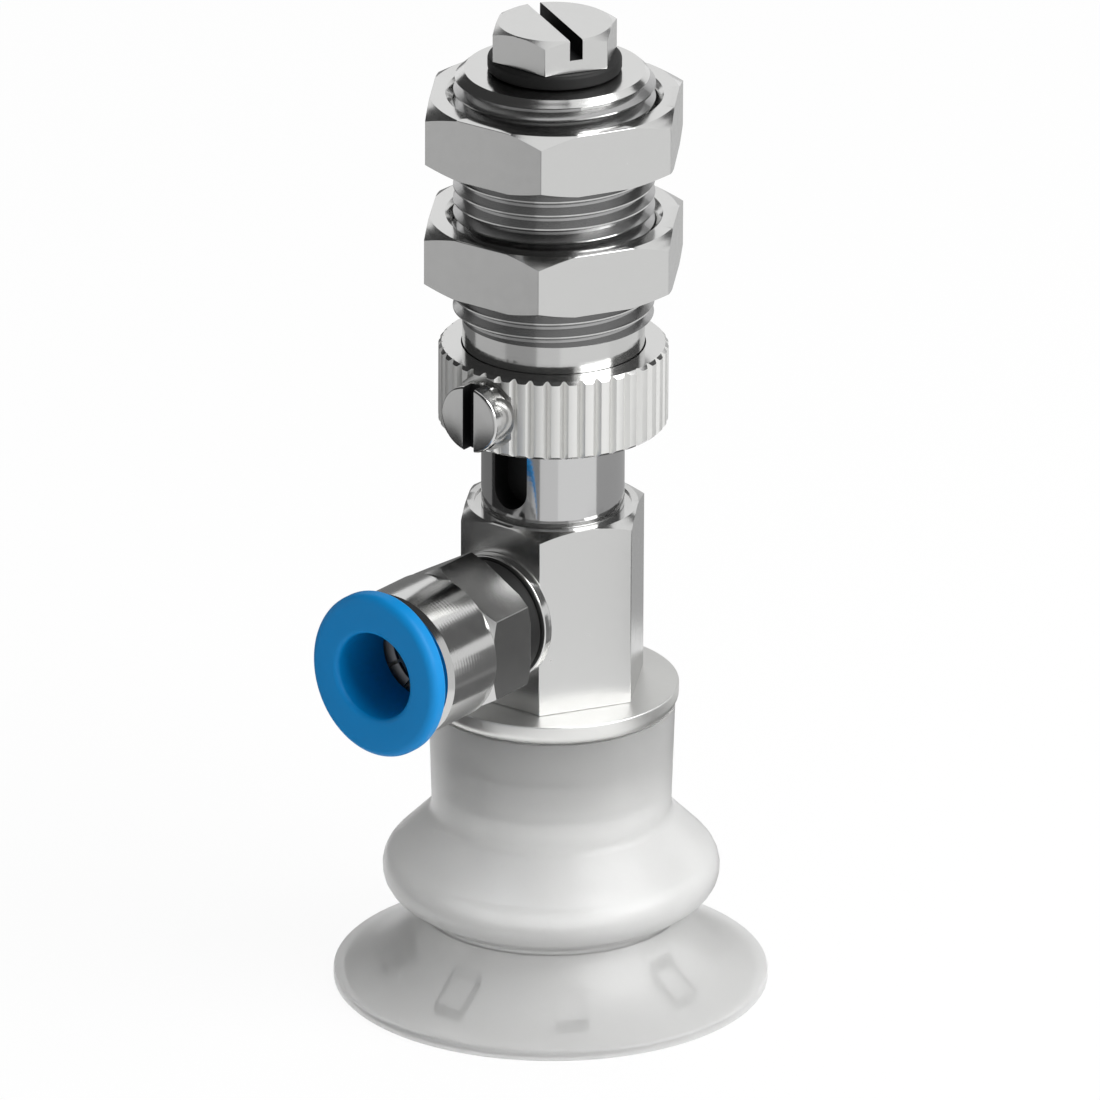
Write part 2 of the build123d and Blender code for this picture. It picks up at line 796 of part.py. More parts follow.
# Release ring: an oval flange on a sleeve that pushes the claw open
with BuildPart() as release_ring:
    with BuildSketch(port_plane(ring_back)):
        Ellipse(ring_half_width, ring_half_height)
    extrude(amount=ring_thickness)
    fillet(release_ring.edges().sort_by(Axis.Y)[0], ring_front_rounding)
    fillet(release_ring.edges().sort_by(Axis.Y)[-1], ring_back_rounding)
    with BuildSketch(port_plane(ring_nose)):
        Circle(tube_bore_radius + ring_sleeve_wall)
    extrude(amount=ring_back - ring_nose)
    with BuildSketch(port_plane(ring_nose)):
        Circle(tube_bore_radius)
    extrude(amount=ring_front - ring_nose, mode=Mode.SUBTRACT)
    mouth = release_ring.edges().filter_by(GeomType.CIRCLE).sort_by(Axis.Y)[0]
    fillet(mouth, ring_mouth_rounding)
write(release_ring.part, "release_ring")
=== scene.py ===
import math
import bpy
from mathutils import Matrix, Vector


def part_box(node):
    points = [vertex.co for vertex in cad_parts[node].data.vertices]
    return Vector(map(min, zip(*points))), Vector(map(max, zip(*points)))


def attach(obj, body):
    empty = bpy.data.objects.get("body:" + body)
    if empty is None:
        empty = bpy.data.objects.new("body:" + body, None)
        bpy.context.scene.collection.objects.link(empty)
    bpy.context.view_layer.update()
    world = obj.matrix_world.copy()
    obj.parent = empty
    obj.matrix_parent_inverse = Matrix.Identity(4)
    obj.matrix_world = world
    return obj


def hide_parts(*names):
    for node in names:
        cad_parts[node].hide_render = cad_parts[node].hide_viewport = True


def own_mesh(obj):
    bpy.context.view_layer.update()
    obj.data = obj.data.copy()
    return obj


bl_info = {
    "name": "Vacuum Gripper",
    "version": (1, 0, 0),
    "blender": (4, 5, 0),
    "location": "View3D > Sidebar > Gripper",
    "description": "Dresses a sprung vacuum gripper: plated hexagons, a rolled thread and a silicone bellows",
    "category": "Add Mesh",
}

import bmesh
import bpy
from mathutils import Matrix, Vector

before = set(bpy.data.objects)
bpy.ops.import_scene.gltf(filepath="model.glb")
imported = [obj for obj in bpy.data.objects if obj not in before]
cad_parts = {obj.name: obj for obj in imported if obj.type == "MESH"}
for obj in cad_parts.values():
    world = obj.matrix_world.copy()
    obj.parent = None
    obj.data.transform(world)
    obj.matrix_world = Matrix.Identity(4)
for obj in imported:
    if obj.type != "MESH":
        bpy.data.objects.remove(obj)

MM = 0.001
FULL_TURN = 2 * math.pi
WELD = 1e-6                   # vertices closer than this are one vertex
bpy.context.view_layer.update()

# Places that the frame gives
PORT_HEIGHT = sum(corner.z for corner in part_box("tube_seal")) / 2
GUIDE_HEIGHT = sum(corner.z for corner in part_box("guide_screw")) / 2


def length(name, description, millimetres):
    """A size that the user can change, written in millimetres and kept in metres."""
    return bpy.props.FloatProperty(
        name=name, description=description, default=millimetres * MM, min=0.0, precision=5, unit="LENGTH"
    )


def angle(name, description, degrees):
    """An angle that the user can change, written in degrees."""
    return bpy.props.FloatProperty(
        name=name, description=description, default=math.radians(degrees), subtype="ANGLE"
    )


def linear(code):
    """Turn an sRGB hex value into linear red, green, blue and alpha."""
    parts = [int(code[place:place + 2], 16) / 255 for place in (1, 3, 5)]
    return [part / 12.92 if part <= 0.04045 else ((part + 0.055) / 1.055) ** 2.4 for part in parts] + [1.0]


def colour(name, description, code):
    """A colour that the user can change."""
    return bpy.props.FloatVectorProperty(
        name=name, description=description, subtype="COLOR", size=4, min=0.0, max=1.0, default=linear(code)
    )


class CupSizes(bpy.types.PropertyGroup):
    """Sizes of the silicone bellows and of the plate above it"""

    rim_radius: length("Lip radius", "Outer radius of the sealing lip", 15.3)
    rim_height: length("Lip edge", "Height of the upright edge of the lip", 0.7)
    rim_rounding: length("Lip edge rounding", "Rounding of the lip's upper edge", 0.25)
    lip_wall: length("Lip wall", "Thickness of the lip", 1.0)
    lip_curve: length("Lip curve", "Radius of the lip's flare", 11.6)
    fold_radius: length("Fold radius", "Radius of the fold at its crest", 11.85)
    fold_height: length("Fold height", "Height of the fold's crest", 8.5)
    fold_rounding: length("Fold rounding", "Rounding of the fold's crest", 2.1)
    fold_wall: length("Fold wall", "Thickness of the fold", 1.1)
    groove_radius: length("Groove radius", "Radius of the groove between lip and fold", 9.0)
    groove_rounding: length("Groove rounding", "Rounding at the bottom of the groove", 0.4)
    neck_foot: length("Neck foot radius", "Radius of the neck above the fold", 8.4)
    neck_top: length("Neck top radius", "Radius of the neck under the plate", 8.65)
    neck_wall: length("Neck wall", "Thickness of the neck below the spigot", 1.5)
    neck_rounding: length("Neck rounding", "Rounding where the neck meets the fold", 1.2)
    cleat_start: length("Cleat start", "Inner radius of the cleats", 9.3)
    cleat_length: length("Cleat length", "Length of a cleat along the radius", 2.5)
    cleat_width: length("Cleat width", "Width of a cleat", 2.2)
    cleat_depth: length("Cleat depth", "How far a cleat stands out of the lip", 0.8)
    cleat_root: length("Cleat root", "How far a cleat grows out of the lip's wall", 0.3)
    spigot_radius: length("Spigot radius", "Radius of the plate's spigot in the neck", 5.4)
    spigot_length: length("Spigot length", "Length of the plate's spigot", 6.5)
    barb_radius: length("Barb radius", "Radius of the spigot's barb", 6.2)
    barb_length: length("Barb length", "Length of the barb's slope", 1.8)
    barb_start: length("Barb start", "From the spigot's tip to the barb", 0.7)
    barb_land: length("Barb land", "Length of the barb's plain edge", 0.4)
    plate_rounding: length("Plate rounding", "Rounding of the plate's lower edge", 0.8)
    plate_hole: length("Plate hole", "Radius of the hole for the hollow screw", 3.03)
    plate_seat: length("Plate seat", "From the screw's lower end to the seat of its head", 2.2)
    cleats: bpy.props.IntProperty(name="Cleats", description="Cleats under the lip", default=8, min=1)


class BodySizes(bpy.types.PropertyGroup):
    """Sizes of the port body, the rod and the fitting"""

    body_flats: length("Body flats", "Port body across flats", 12.0)
    body_drop: length("Body corner drop", "How far the body's corners are turned down", 0.6)
    recess_margin: length("Recess margin", "Ring of recess round the rod's foot", 0.5)
    recess_depth: length("Recess depth", "Depth of the recess at the rod's foot", 0.15)
    rod_radius: length("Rod radius", "Radius of the plunger rod", 5.0)
    rod_chamfer: length("Rod chamfer", "Chamfer at the top of the rod", 0.5)
    stub_radius: length("Stub radius", "Radius of the rod's stub in the body", 4.0)
    stem_radius: length("Stem radius", "Radius of the stem inside the spring", 2.5)
    stub_length: length("Stub length", "Length of the rod's stub", 3.2)
    tapped_radius: length("Tapped hole", "Radius of the hole for the end stop", 1.53)
    tapped_depth: length("Tapped hole depth", "Depth of the hole for the end stop", 6.6)
    rod_top: length("Rod top", "Height of the shoulder that the spring stands on", 52.0)
    keyway_width: length("Keyway width", "Width of the keyway", 2.8)
    keyway_depth: length("Keyway depth", "Depth of the keyway", 1.7)
    keyway_start: length("Keyway start", "From the body to the keyway's lower end", 0.9)
    keyway_end: length("Keyway end", "From the guide screw's axis to the keyway's upper end", 3.0)
    fitting_flats: length("Fitting flats", "Fitting across flats", 10.0)
    fitting_drop: length("Fitting corner drop", "How far the fitting's corners are turned down", 0.4)
    hexagon_start: length("Fitting hexagon start", "From the gripper's axis to the fitting's hexagon", 8.95)
    hexagon_end: length("Fitting hexagon end", "From the gripper's axis to the hexagon's outer end", 13.2)
    barrel_end: length("Barrel end", "From the gripper's axis to the barrel's rim", 18.2)
    barrel_radius: length("Barrel radius", "Radius of the fitting's barrel", 5.25)
    barrel_chamfer: length("Barrel chamfer", "Bevel round the barrel's rim", 0.35)
    cavity_radius: length("Cavity radius", "Radius of the barrel's bore", 4.5)
    tube_radius: length("Tube bore", "Radius of the hole for the tube", 3.1)
    tube_stop: length("Tube stop", "From the gripper's axis to the tube's stop", 10.35)
    seat_length: length("Tube seat", "Length of the close bore before the seal", 1.0)
    passage_radius: length("Passage radius", "Radius of the passage behind the tube", 1.4)
    thread_radius: length("Port thread", "Radius of the fitting's thread", 2.5)
    pilot_radius: length("Pilot radius", "Radius of the fitting's pilot", 3.0)
    thread_start: length("Port thread start", "From the gripper's axis to the thread's tip", 2.23)
    washer_end: length("Washer end", "From the gripper's axis to the washer's outer face", 6.8)
    seal_rounding: length("Seal rounding", "Rounding of the seal behind the fitting", 0.5)
    ring_wall: length("Ring wall", "Wall of the release ring's inner tube", 0.65)
    ring_flange: length("Ring flange", "Thickness of the release ring's flange", 1.4)
    ring_rounding: length("Ring rounding", "Rounding of the flange's front edge", 0.62)
    back_rounding: length("Back rounding", "Rounding of the flange's back edge", 0.3)
    mouth_rounding: length("Mouth rounding", "Rounding where the tube goes in", 0.42)


class SleeveSizes(bpy.types.PropertyGroup):
    """Sizes of the threaded sleeve, its collar, its nuts and the end stop"""

    pitch: length("Thread pitch", "Pitch of the sleeve's thread", 1.0)
    thread_depth: length("Thread depth", "From crest to root", 0.6)
    crest_width: length("Crest width", "Flat left on the thread's crest", 0.1)
    root_width: length("Root width", "Flat left at the thread's root", 0.18)
    relief_drop: length("Relief drop", "How far the relief lies below the root", 0.05)
    tip_length: length("Tip length", "Length of the chamfer at the sleeve's top", 0.7)
    tip_chamfer: length("Tip chamfer", "Width of the chamfer at the sleeve's top", 0.75)
    relief_end: length("Relief end", "Height at which the thread starts", 50.0)
    bush_bore: length("Upper bush seat", "Radius of the upper bush's seat", 3.33)
    sleeve_bore: length("Sleeve bore", "Radius of the bore round the spring", 5.1)
    bush_seat: length("Lower bush seat", "Radius of the lower bush's seat", 5.63)
    bush_top: length("Lower bush top", "Height of the lower bush's upper end", 49.0)
    end_wall: length("End wall", "Thickness of the sleeve's end wall", 3.0)
    collar_lip: length("Collar lip", "Height of the lip under the lower bush", 0.85)
    collar_bore: length("Collar bore", "Radius of the collar's threaded bore", 6.43)
    collar_mouth: length("Collar mouth", "Radius of the lip round the rod", 5.15)
    collar_chamfer: length("Collar chamfer", "Bevel of the collar's edges", 0.3)
    flute_depth: length("Flute depth", "Depth of a flute", 0.34)
    spot_radius: length("Spot face radius", "Radius of the flat under the guide screw", 2.65)
    spot_depth: length("Spot face depth", "Depth of the flat under the guide screw", 0.43)
    screw_head: length("Guide screw head", "Radius of the guide screw's head", 2.4)
    screw_head_height: length("Guide screw head height", "Height of the guide screw's head", 2.1)
    screw_rounding: length("Guide screw rounding", "Rounding of the guide screw's head", 0.22)
    screw_radius: length("Guide screw thread", "Radius of the guide screw's thread", 1.5)
    screw_tip: length("Guide screw tip", "Radius of the tip that runs in the keyway", 1.3)
    screw_tip_length: length("Guide screw tip length", "Length of the plain tip", 1.6)
    slot_width: length("Slot width", "Width of both screwdriver slots", 0.95)
    guide_slot_depth: length("Guide slot depth", "Depth of the guide screw's slot", 0.9)
    head_slot_depth: length("Head slot depth", "Depth of the end stop's slot", 1.45)
    nut_flats: length("Nut flats", "Lock nuts across flats", 17.0)
    nut_drop: length("Nut corner drop", "How far the nuts' corners are turned down", 0.7)
    nut_bore: length("Nut bore", "Radius of the nuts' bore", 7.05)
    nut_chamfer: length("Nut chamfer", "Chamfer of the nuts' bore", 0.5)
    head_flats: length("Head flats", "End stop across flats", 8.0)
    head_drop: length("Head corner drop", "How far the head's corners are turned down", 0.45)
    shank_radius: length("Shank radius", "Radius of the end stop's shank", 1.5)
    wire_radius: length("Spring wire", "Radius of the spring's wire", 0.4)
    stroke: length("Stroke", "How far the sleeve comes down over the plunger", 6.0)
    washer_radius: length("Damping washer", "Radius of the damping washer", 4.65)
    washer_rounding: length("Washer rounding", "Rounding of the damping washer", 0.25)
    coils: bpy.props.IntProperty(name="Coils", description="Coils of the spring", default=6, min=1)
    flutes: bpy.props.IntProperty(name="Flutes", description="Flutes round the collar", default=42, min=3)
    lower_turn: angle("Lower nut turn", "How far the lower nut is turned", 1.3)
    upper_turn: angle("Upper nut turn", "How far the upper nut is turned", 2.2)
    head_turn: angle("Head turn", "How far the slotted head is turned", -0.9)


class Finishes(bpy.types.PropertyGroup):
    """Colours of the gripper's materials"""

    nickel: colour("Nickel", "Bright nickel plate", "#D0D0CF")
    satin: colour("Satin nickel", "Nickel plate that is brushed or rolled", "#E6E6E4")
    # The thread flanks' darker colour is painted shade for the deep grooves of the thread
    thread: colour("Thread flanks", "Oiled flanks of the rolled thread", "#ACACAC")
    # The fitting flats' darker nickel is painted shade
    fitting: colour("Fitting flats", "Nickel plate on the fitting's flats", "#A8A8A7")
    # The slots' dark colour is painted shade for the deep slots and the keyway
    slot: colour("Slots", "Oiled walls of the screwdriver slots", "#3C3C3C")
    steel: colour("Steel", "Ground and polished steel", "#CFCFCF")
    spring: colour("Spring steel", "Drawn and oiled spring wire", "#84868A")
    bronze: colour("Bronze", "Sintered bearing bronze", "#A87C4C")
    rubber: colour("Rubber", "Black nitrile rubber", "#121212")
    silicone: colour("Silicone", "Milky silicone", "#F2F2F1")
    blue: colour("Blue plastic", "Blue moulded acetal", "#0082C6")
    natural: colour("Natural plastic", "Undyed moulded acetal", "#DAD9D2")


# Rounding of machined edges and how finely the curves are cut
EDGE_ROUNDING = 0.08 * MM
EDGE_STEPS = 2
MOULDED_ROUNDING = 0.1 * MM   # edges where two halves of a mould meet
DISC_ROUNDING = 0.12 * MM     # tumbled edges of the plate and the washer
TIP_ROUNDING = 0.2 * MM       # tips of the threads
FITTING_OVERLAP = 0.02 * MM   # how far the fitting's barrel goes into its hexagon
SLIP = 0.03 * MM              # how much wider a hole is than what goes in
SNUG = 0.05 * MM              # the same for silicone on metal
ARC_STEPS = 8
TURN_STEPS = 160
SMOOTH_ANGLE = math.radians(28)
CORNER_ANGLE = math.radians(30)
END_FACE = 0.3                # a face whose normal rises more than this belongs to an end
UPRIGHT = 0.01                # a face whose normal rises less than this runs along the bar
LYING = (math.pi / 2, 0, 0)   # turns an upright piece so that its top faces -Y


def select_only(piece):
    """Make a piece the only selected object, and the active one."""
    bpy.ops.object.select_all(action="DESELECT")
    piece.select_set(True)
    bpy.context.view_layer.objects.active = piece


def select_where(piece, part, test):
    """In edit mode, select only the vertices, edges or faces that pass a test."""
    bpy.ops.mesh.select_all(action="DESELECT")
    mesh = bmesh.from_edit_mesh(piece.data)
    for element in getattr(mesh, part):
        if test(element):
            element.select_set(True)
    mesh.select_flush_mode()
    bmesh.update_edit_mesh(piece.data)


def start_edit():
    """Enter edit mode with all of the active piece selected."""
    bpy.ops.object.mode_set(mode="EDIT")
    bpy.ops.mesh.select_all(action="SELECT")


def end_edit():
    """Point all faces outwards and leave edit mode."""
    bpy.ops.mesh.select_all(action="SELECT")
    bpy.ops.mesh.normals_make_consistent(inside=False)
    bpy.ops.object.mode_set(mode="OBJECT")


def apply_modifier(piece, kind, **settings):
    """Add a modifier to a piece that is active, set it and apply it."""
    bpy.ops.object.modifier_add(type=kind)
    modifier = piece.modifiers[-1]
    for name, value in settings.items():
        setattr(modifier, name, value)
    bpy.ops.object.modifier_apply(modifier=modifier.name)


def add_primitive(name, add, **settings):
    """Add a primitive with nothing else selected, and put its place in its mesh."""
    bpy.ops.object.select_all(action="DESELECT")
    add(**settings)
    piece = bpy.context.object
    piece.name = name
    bpy.ops.object.transform_apply(location=True, rotation=True, scale=True)
    return piece


def arc(centre, radius, start, end, steps=ARC_STEPS):
    """Points on an arc from one angle to another, in degrees."""
    angles = [math.radians(start + (end - start) * step / steps) for step in range(steps + 1)]
    return [Vector(centre) + radius * Vector((math.cos(angle), math.sin(angle))) for angle in angles]


def rounded(corners):
    """Turn (radius, height, rounding) corners into an outline whose roundings are arcs."""
    outline = []
    for before, corner, after in zip(corners[-1:] + corners[:-1], corners, corners[1:] + corners[:1]):
        place = Vector(corner[:2])
        if len(corner) < 3:
            outline.append(place)
            continue
        rounding = corner[2]
        back = (Vector(before[:2]) - place).normalized()
        onward = (Vector(after[:2]) - place).normalized()
        half = back.angle(onward) / 2
        centre = place + (back + onward).normalized() * rounding / math.sin(half)
        first = place + back * rounding / math.tan(half) - centre
        last = place + onward * rounding / math.tan(half) - centre
        start = math.atan2(first.y, first.x)
        sweep = math.remainder(math.atan2(last.y, last.x) - start, FULL_TURN)
        outline += arc(centre, rounding, math.degrees(start), math.degrees(start + sweep))
    return outline


def turned(name, corners):
    """Turn a closed outline of (radius, height) or (radius, height, rounding) corners about the Z axis."""
    places = [Vector((point.x, 0, point.y)) for point in rounded(corners)]
    piece = add_primitive(name, bpy.ops.mesh.primitive_plane_add, size=MM)
    start_edit()
    bpy.ops.mesh.merge(type="CENTER")
    bpy.ops.transform.translate(value=places[0])
    for start, end in zip(places, places[1:] + places[:1]):
        bpy.ops.mesh.extrude_vertices_move(TRANSFORM_OT_translate={"value": end - start})
    bpy.ops.mesh.select_all(action="SELECT")
    bpy.ops.mesh.remove_doubles(threshold=WELD)
    bpy.ops.mesh.select_all(action="SELECT")
    bpy.ops.mesh.spin(steps=TURN_STEPS, angle=FULL_TURN, center=(0, 0, 0), axis=(0, 0, 1))
    bpy.ops.mesh.select_all(action="SELECT")
    bpy.ops.mesh.remove_doubles(threshold=WELD)
    end_edit()
    return piece


def hexagon_bar(name, flats, low, high, turn=0.0):
    """Add a hexagon bar about the Z axis, one flat towards -Y, with its long edges rounded."""
    piece = add_primitive(
        name, bpy.ops.mesh.primitive_cylinder_add, vertices=6, radius=flats / math.sqrt(3),
        depth=high - low, location=(0, 0, (low + high) / 2), rotation=(0, 0, CORNER_ANGLE + turn),
    )
    bpy.ops.object.mode_set(mode="EDIT")
    select_where(piece, "edges", lambda edge: abs(edge.verts[0].co.z - edge.verts[1].co.z) > WELD)
    bpy.ops.mesh.bevel(offset=EDGE_ROUNDING, segments=EDGE_STEPS)
    bpy.ops.object.mode_set(mode="OBJECT")
    return piece


def turned_ends(flats, low, high, low_drop, high_drop, bore):
    """Outline that turns the corners of a hexagon bar down at both ends, round a bore."""
    corner = flats / math.sqrt(3) + EDGE_ROUNDING
    slope = math.tan(CORNER_ANGLE)
    outline = [(bore, low)]
    if low_drop:
        outline.append((corner - low_drop / slope, low))
    outline += [(corner, low + low_drop), (corner, high - high_drop)]
    if high_drop:
        outline.append((corner - high_drop / slope, high))
    return outline + [(bore, high)]


def wind(piece, rise, turns, steps):
    """Wind a section up a helix about the Z axis, and close its two ends."""
    apply_modifier(
        piece, "SCREW", angle=FULL_TURN, screw_offset=rise, iterations=turns, steps=steps, render_steps=steps
    )
    start_edit()
    bpy.ops.mesh.fill_holes(sides=0)
    end_edit()


def place_corners(piece, half, places, aside):
    """Move the corners of a new square to their own places, by way of a spot where none is yet."""
    bpy.ops.object.mode_set(mode="EDIT")
    for (across, along), place in places.items():
        corner = Vector((across, along, 0)) * half
        select_where(piece, "verts", lambda vert: (vert.co - corner).length < WELD)
        bpy.ops.transform.translate(value=Vector(place) + Vector((aside, 0, 0)) - corner)
    bpy.ops.mesh.select_all(action="SELECT")
    bpy.ops.transform.translate(value=(-aside, 0, 0))
    bpy.ops.object.mode_set(mode="OBJECT")


def combine(piece, tool, how):
    """Join a piece with a tool, cut it or keep what both share, and delete the tool."""
    select_only(piece)
    apply_modifier(piece, "BOOLEAN", operation=how, solver="EXACT", object=tool)
    select_only(tool)
    bpy.ops.object.delete()


def block(name, size, place, turn=0.0):
    """Add a block that serves as a cutter or as the start of a rib."""
    return add_primitive(
        name, bpy.ops.mesh.primitive_cube_add, size=1.0, scale=size, location=place, rotation=(0, 0, turn)
    )


def crosswise(name, radius, depth, place, sides=64):
    """Add a cylinder that lies along Y, as a cutter."""
    return add_primitive(
        name, bpy.ops.mesh.primitive_cylinder_add, vertices=sides, radius=radius, depth=depth, location=place,
        rotation=LYING,
    )


def lay_on(piece, height):
    """Lay a piece that was modelled upright along -Y, at a height above the floor."""
    select_only(piece)
    piece.rotation_euler = LYING
    piece.location = (0, 0, height)
    bpy.ops.object.transform_apply(location=True, rotation=True, scale=True)
    return piece


# How the finishes vary
ROUGHNESS_SPREAD = (0.8, 1.25)  # share of a metal's roughness at the two ends of its grain
METAL_RELIEF = 0.25           # strength of the grain and the turning marks
MOULD_RELIEF = 0.3            # strength of the mould's fine texture
CLOUD_SHADE = 0.9             # share of a moulded colour that is left where it is cloudiest
CLOUD_SIZE = 6.0              # millimetres across one cloud in a moulded piece
MATERIALS = {}                # each finish by name, once the first piece has asked for one


def add_node(tree, kind, settings=(), inputs=(), links=()):
    """Add a node, set its properties and socket values, and link other sockets into it."""
    node = tree.nodes.new(kind)
    for name, value in dict(settings).items():
        setattr(node, name, value)
    for name, value in dict(inputs).items():
        node.inputs[name].default_value = value
    for name, socket in dict(links).items():
        tree.links.new(socket, node.inputs[name])
    return node


def start_material(name):
    """Start an empty node material, and return it with its tree and Object coordinates."""
    material = bpy.data.materials.new(name)
    material.use_nodes = True
    tree = material.node_tree
    tree.nodes.clear()
    place = add_node(tree, "ShaderNodeTexCoord")
    return material, tree, place.outputs["Object"]


def close_material(tree, shader):
    """Link a shader to the material's output."""
    add_node(tree, "ShaderNodeOutputMaterial", links={"Surface": shader.outputs["BSDF"]})


def per_metre(millimetres):
    """Texture scale that makes one cell of a pattern a given number of millimetres wide."""
    return 1 / (millimetres * MM)


def metal(name, base, roughness, grain, grain_depth, marks=None):
    """Metal whose roughness and height vary with fine grain, and with turning marks where it is turned."""
    material, tree, place = start_material(name)
    noise = add_node(
        tree, "ShaderNodeTexNoise", inputs={"Scale": per_metre(grain), "Detail": 3.0}, links={"Vector": place}
    ).outputs["Fac"]
    spread = {"To Min": roughness * ROUGHNESS_SPREAD[0], "To Max": roughness * ROUGHNESS_SPREAD[1]}
    rough = add_node(tree, "ShaderNodeMapRange", inputs=spread, links={"Value": noise}).outputs["Result"]
    height = noise
    if marks:
        across, width = marks
        rings = {"Scale": per_metre(width) / FULL_TURN * 2, "Distortion": 0.6, "Detail": 1.0}
        wave = add_node(tree, "ShaderNodeTexWave", {"bands_direction": across}, rings, {"Vector": place})
        links = {0: noise, 1: wave.outputs["Fac"]}
        height = add_node(tree, "ShaderNodeMath", {"operation": "ADD"}, links=links).outputs["Value"]
    depth = {"Strength": METAL_RELIEF, "Distance": grain_depth * MM}
    bump = add_node(tree, "ShaderNodeBump", inputs=depth, links={"Height": height}).outputs["Normal"]
    shader = add_node(
        tree, "ShaderNodeBsdfPrincipled", inputs={"Base Color": base, "Metallic": 1.0},
        links={"Roughness": rough, "Normal": bump},
    )
    close_material(tree, shader)
    return material


def moulded(name, base, roughness, ior, specks, speck_depth, soft=0.0, soft_reach=1.0, clear=0.0, painted_shades=()):
    """Moulded rubber, silicone or plastic with a faint cloudiness and the mould's fine texture.

    The painted shade by height is given as pairs of a height in millimetres and the share of the colour that
    is left there.
    """
    material, tree, place = start_material(name)
    cloud, grit = [
        add_node(
            tree, "ShaderNodeTexNoise", {}, {"Scale": per_metre(width), "Detail": 2.0}, {"Vector": place}
        ).outputs["Fac"]
        for width in (CLOUD_SIZE, specks)
    ]
    darker = [part * CLOUD_SHADE for part in base[:3]] + [1.0]
    tint = add_node(tree, "ShaderNodeMix", {"data_type": "RGBA"}, {6: darker, 7: base}, {0: cloud}).outputs[2]
    # Painted shade: the colour is darkened by height, where less light reaches the piece
    if painted_shades:
        parts = add_node(tree, "ShaderNodeSeparateXYZ", links={"Vector": place})
        reach = painted_shades[-1][0]
        height = add_node(
            tree, "ShaderNodeMath", {"operation": "DIVIDE"}, {1: reach * MM}, {0: parts.outputs["Z"]}
        ).outputs["Value"]
        painted_shade_ramp = add_node(tree, "ShaderNodeValToRGB", links={"Fac": height})
        stops = painted_shade_ramp.color_ramp.elements
        for number, (level, share) in enumerate(painted_shades):
            stop = stops[number] if number < 2 else stops.new(1.0)
            stop.position = level / reach
            stop.color = (share, share, share, 1.0)
        multiply = {"data_type": "RGBA", "blend_type": "MULTIPLY"}
        links = {6: tint, 7: painted_shade_ramp.outputs["Color"]}
        tint = add_node(tree, "ShaderNodeMix", multiply, {0: 1.0}, links).outputs[2]
    depth = {"Strength": MOULD_RELIEF, "Distance": speck_depth * MM}
    bump = add_node(tree, "ShaderNodeBump", inputs=depth, links={"Height": grit}).outputs["Normal"]
    shader = add_node(
        tree,
        "ShaderNodeBsdfPrincipled",
        inputs={
            "Roughness": roughness, "IOR": ior, "Subsurface Weight": soft,
            "Subsurface Radius": (1.0, 1.0, 1.0), "Subsurface Scale": soft_reach * MM,
            "Transmission Weight": clear,
        },
        links={"Base Color": tint, "Normal": bump},
    )
    close_material(tree, shader)
    return material


def make_materials(finishes):
    """Make each finish once, and return them by name."""
    return {
        # Nickel plate on turned metal: near mirror, with the faint rings that the tool leaves
        "plated": metal("nickel_plate_turned", finishes.nickel, 0.14, 0.9, 0.004, ("Z", 0.3)),
        # Nickel plate on drawn hexagon bar: flat faces that blur what they mirror
        "plated_flat": metal("nickel_plate_drawn_bar", finishes.nickel, 0.24, 0.8, 0.0015),
        # Nickel plate over rolled flutes: satin, so that it mirrors only a soft glow
        "plated_satin": metal("nickel_plate_satin", finishes.satin, 0.4, 0.4, 0.003),
        # Thread flanks: rolled steel under thin plate, its colour darkened as painted shade for the deep
        # grooves
        "thread": metal("rolled_thread_flanks", finishes.thread, 0.22, 0.5, 0.002),
        # Nickel plate on the fitting: turned about the port, so its rings lie across Y
        "plated_port": metal("nickel_plate_fitting", finishes.nickel, 0.15, 0.9, 0.004, ("Y", 0.3)),
        # The fitting's flats: drawn bar again, its nickel darkened as painted shade
        "fitting_flat": metal("nickel_plate_fitting_flats", finishes.fitting, 0.2, 0.8, 0.0015),
        # Milled slots: rougher than the bar, and dark as painted shade inside the slots and the keyway
        "slot": metal("milled_slot_oiled", finishes.slot, 0.5, 0.3, 0.01),
        # Ground steel: the brightest mirror on the gripper
        "polished": metal("ground_steel", finishes.steel, 0.1, 1.2, 0.002, ("Z", 0.4)),
        # Drawn spring wire with a trace of oil
        "spring": metal("drawn_spring_wire", finishes.spring, 0.32, 0.4, 0.004),
        # Sintered bronze: open pores hold the oil
        "bronze": metal("sintered_bronze", finishes.bronze, 0.45, 0.15, 0.02),
        # Nitrile rubber: matt, with a dull sheen on its edges
        "rubber": moulded("nitrile_rubber", finishes.rubber, 0.6, 1.4, 0.15, 0.01),
        # Silicone: light goes in and comes out milky. Painted shade darkens it by height: the thin lip for
        # the dark cavity below it, and the neck for the metal spigot inside it
        "silicone": moulded(
            "milky_silicone", finishes.silicone, 0.3, 1.41, 0.5, 0.004, soft=0.9, soft_reach=2.0, clear=0.5,
            painted_shades=((0, 0.8), (5.5, 0.78), (8.0, 1.0), (14.0, 1.0), (17.5, 0.74), (22.0, 0.56)),
        ),
        # Acetal: a waxy gloss over a strong blue
        "blue": moulded("blue_acetal", finishes.blue, 0.42, 1.27, 0.5, 0.006),
        "natural": moulded(
            "natural_acetal", finishes.natural, 0.4, 1.48, 0.5, 0.006, soft=0.3, soft_reach=0.8
        ),
    }


def material_of(name):
    """Return a finish. All of them are made when the first piece asks for one."""
    if not MATERIALS:
        MATERIALS.update(make_materials(bpy.context.scene.gripper_finishes))
    return MATERIALS[name]


def second_finish(piece, finish, test):
    """Give a second finish to the faces whose middle and normal pass a test."""
    piece.data.materials.append(material_of(finish))
    for face in piece.data.polygons:
        if test(face.center, face.normal):
            face.material_index = 1


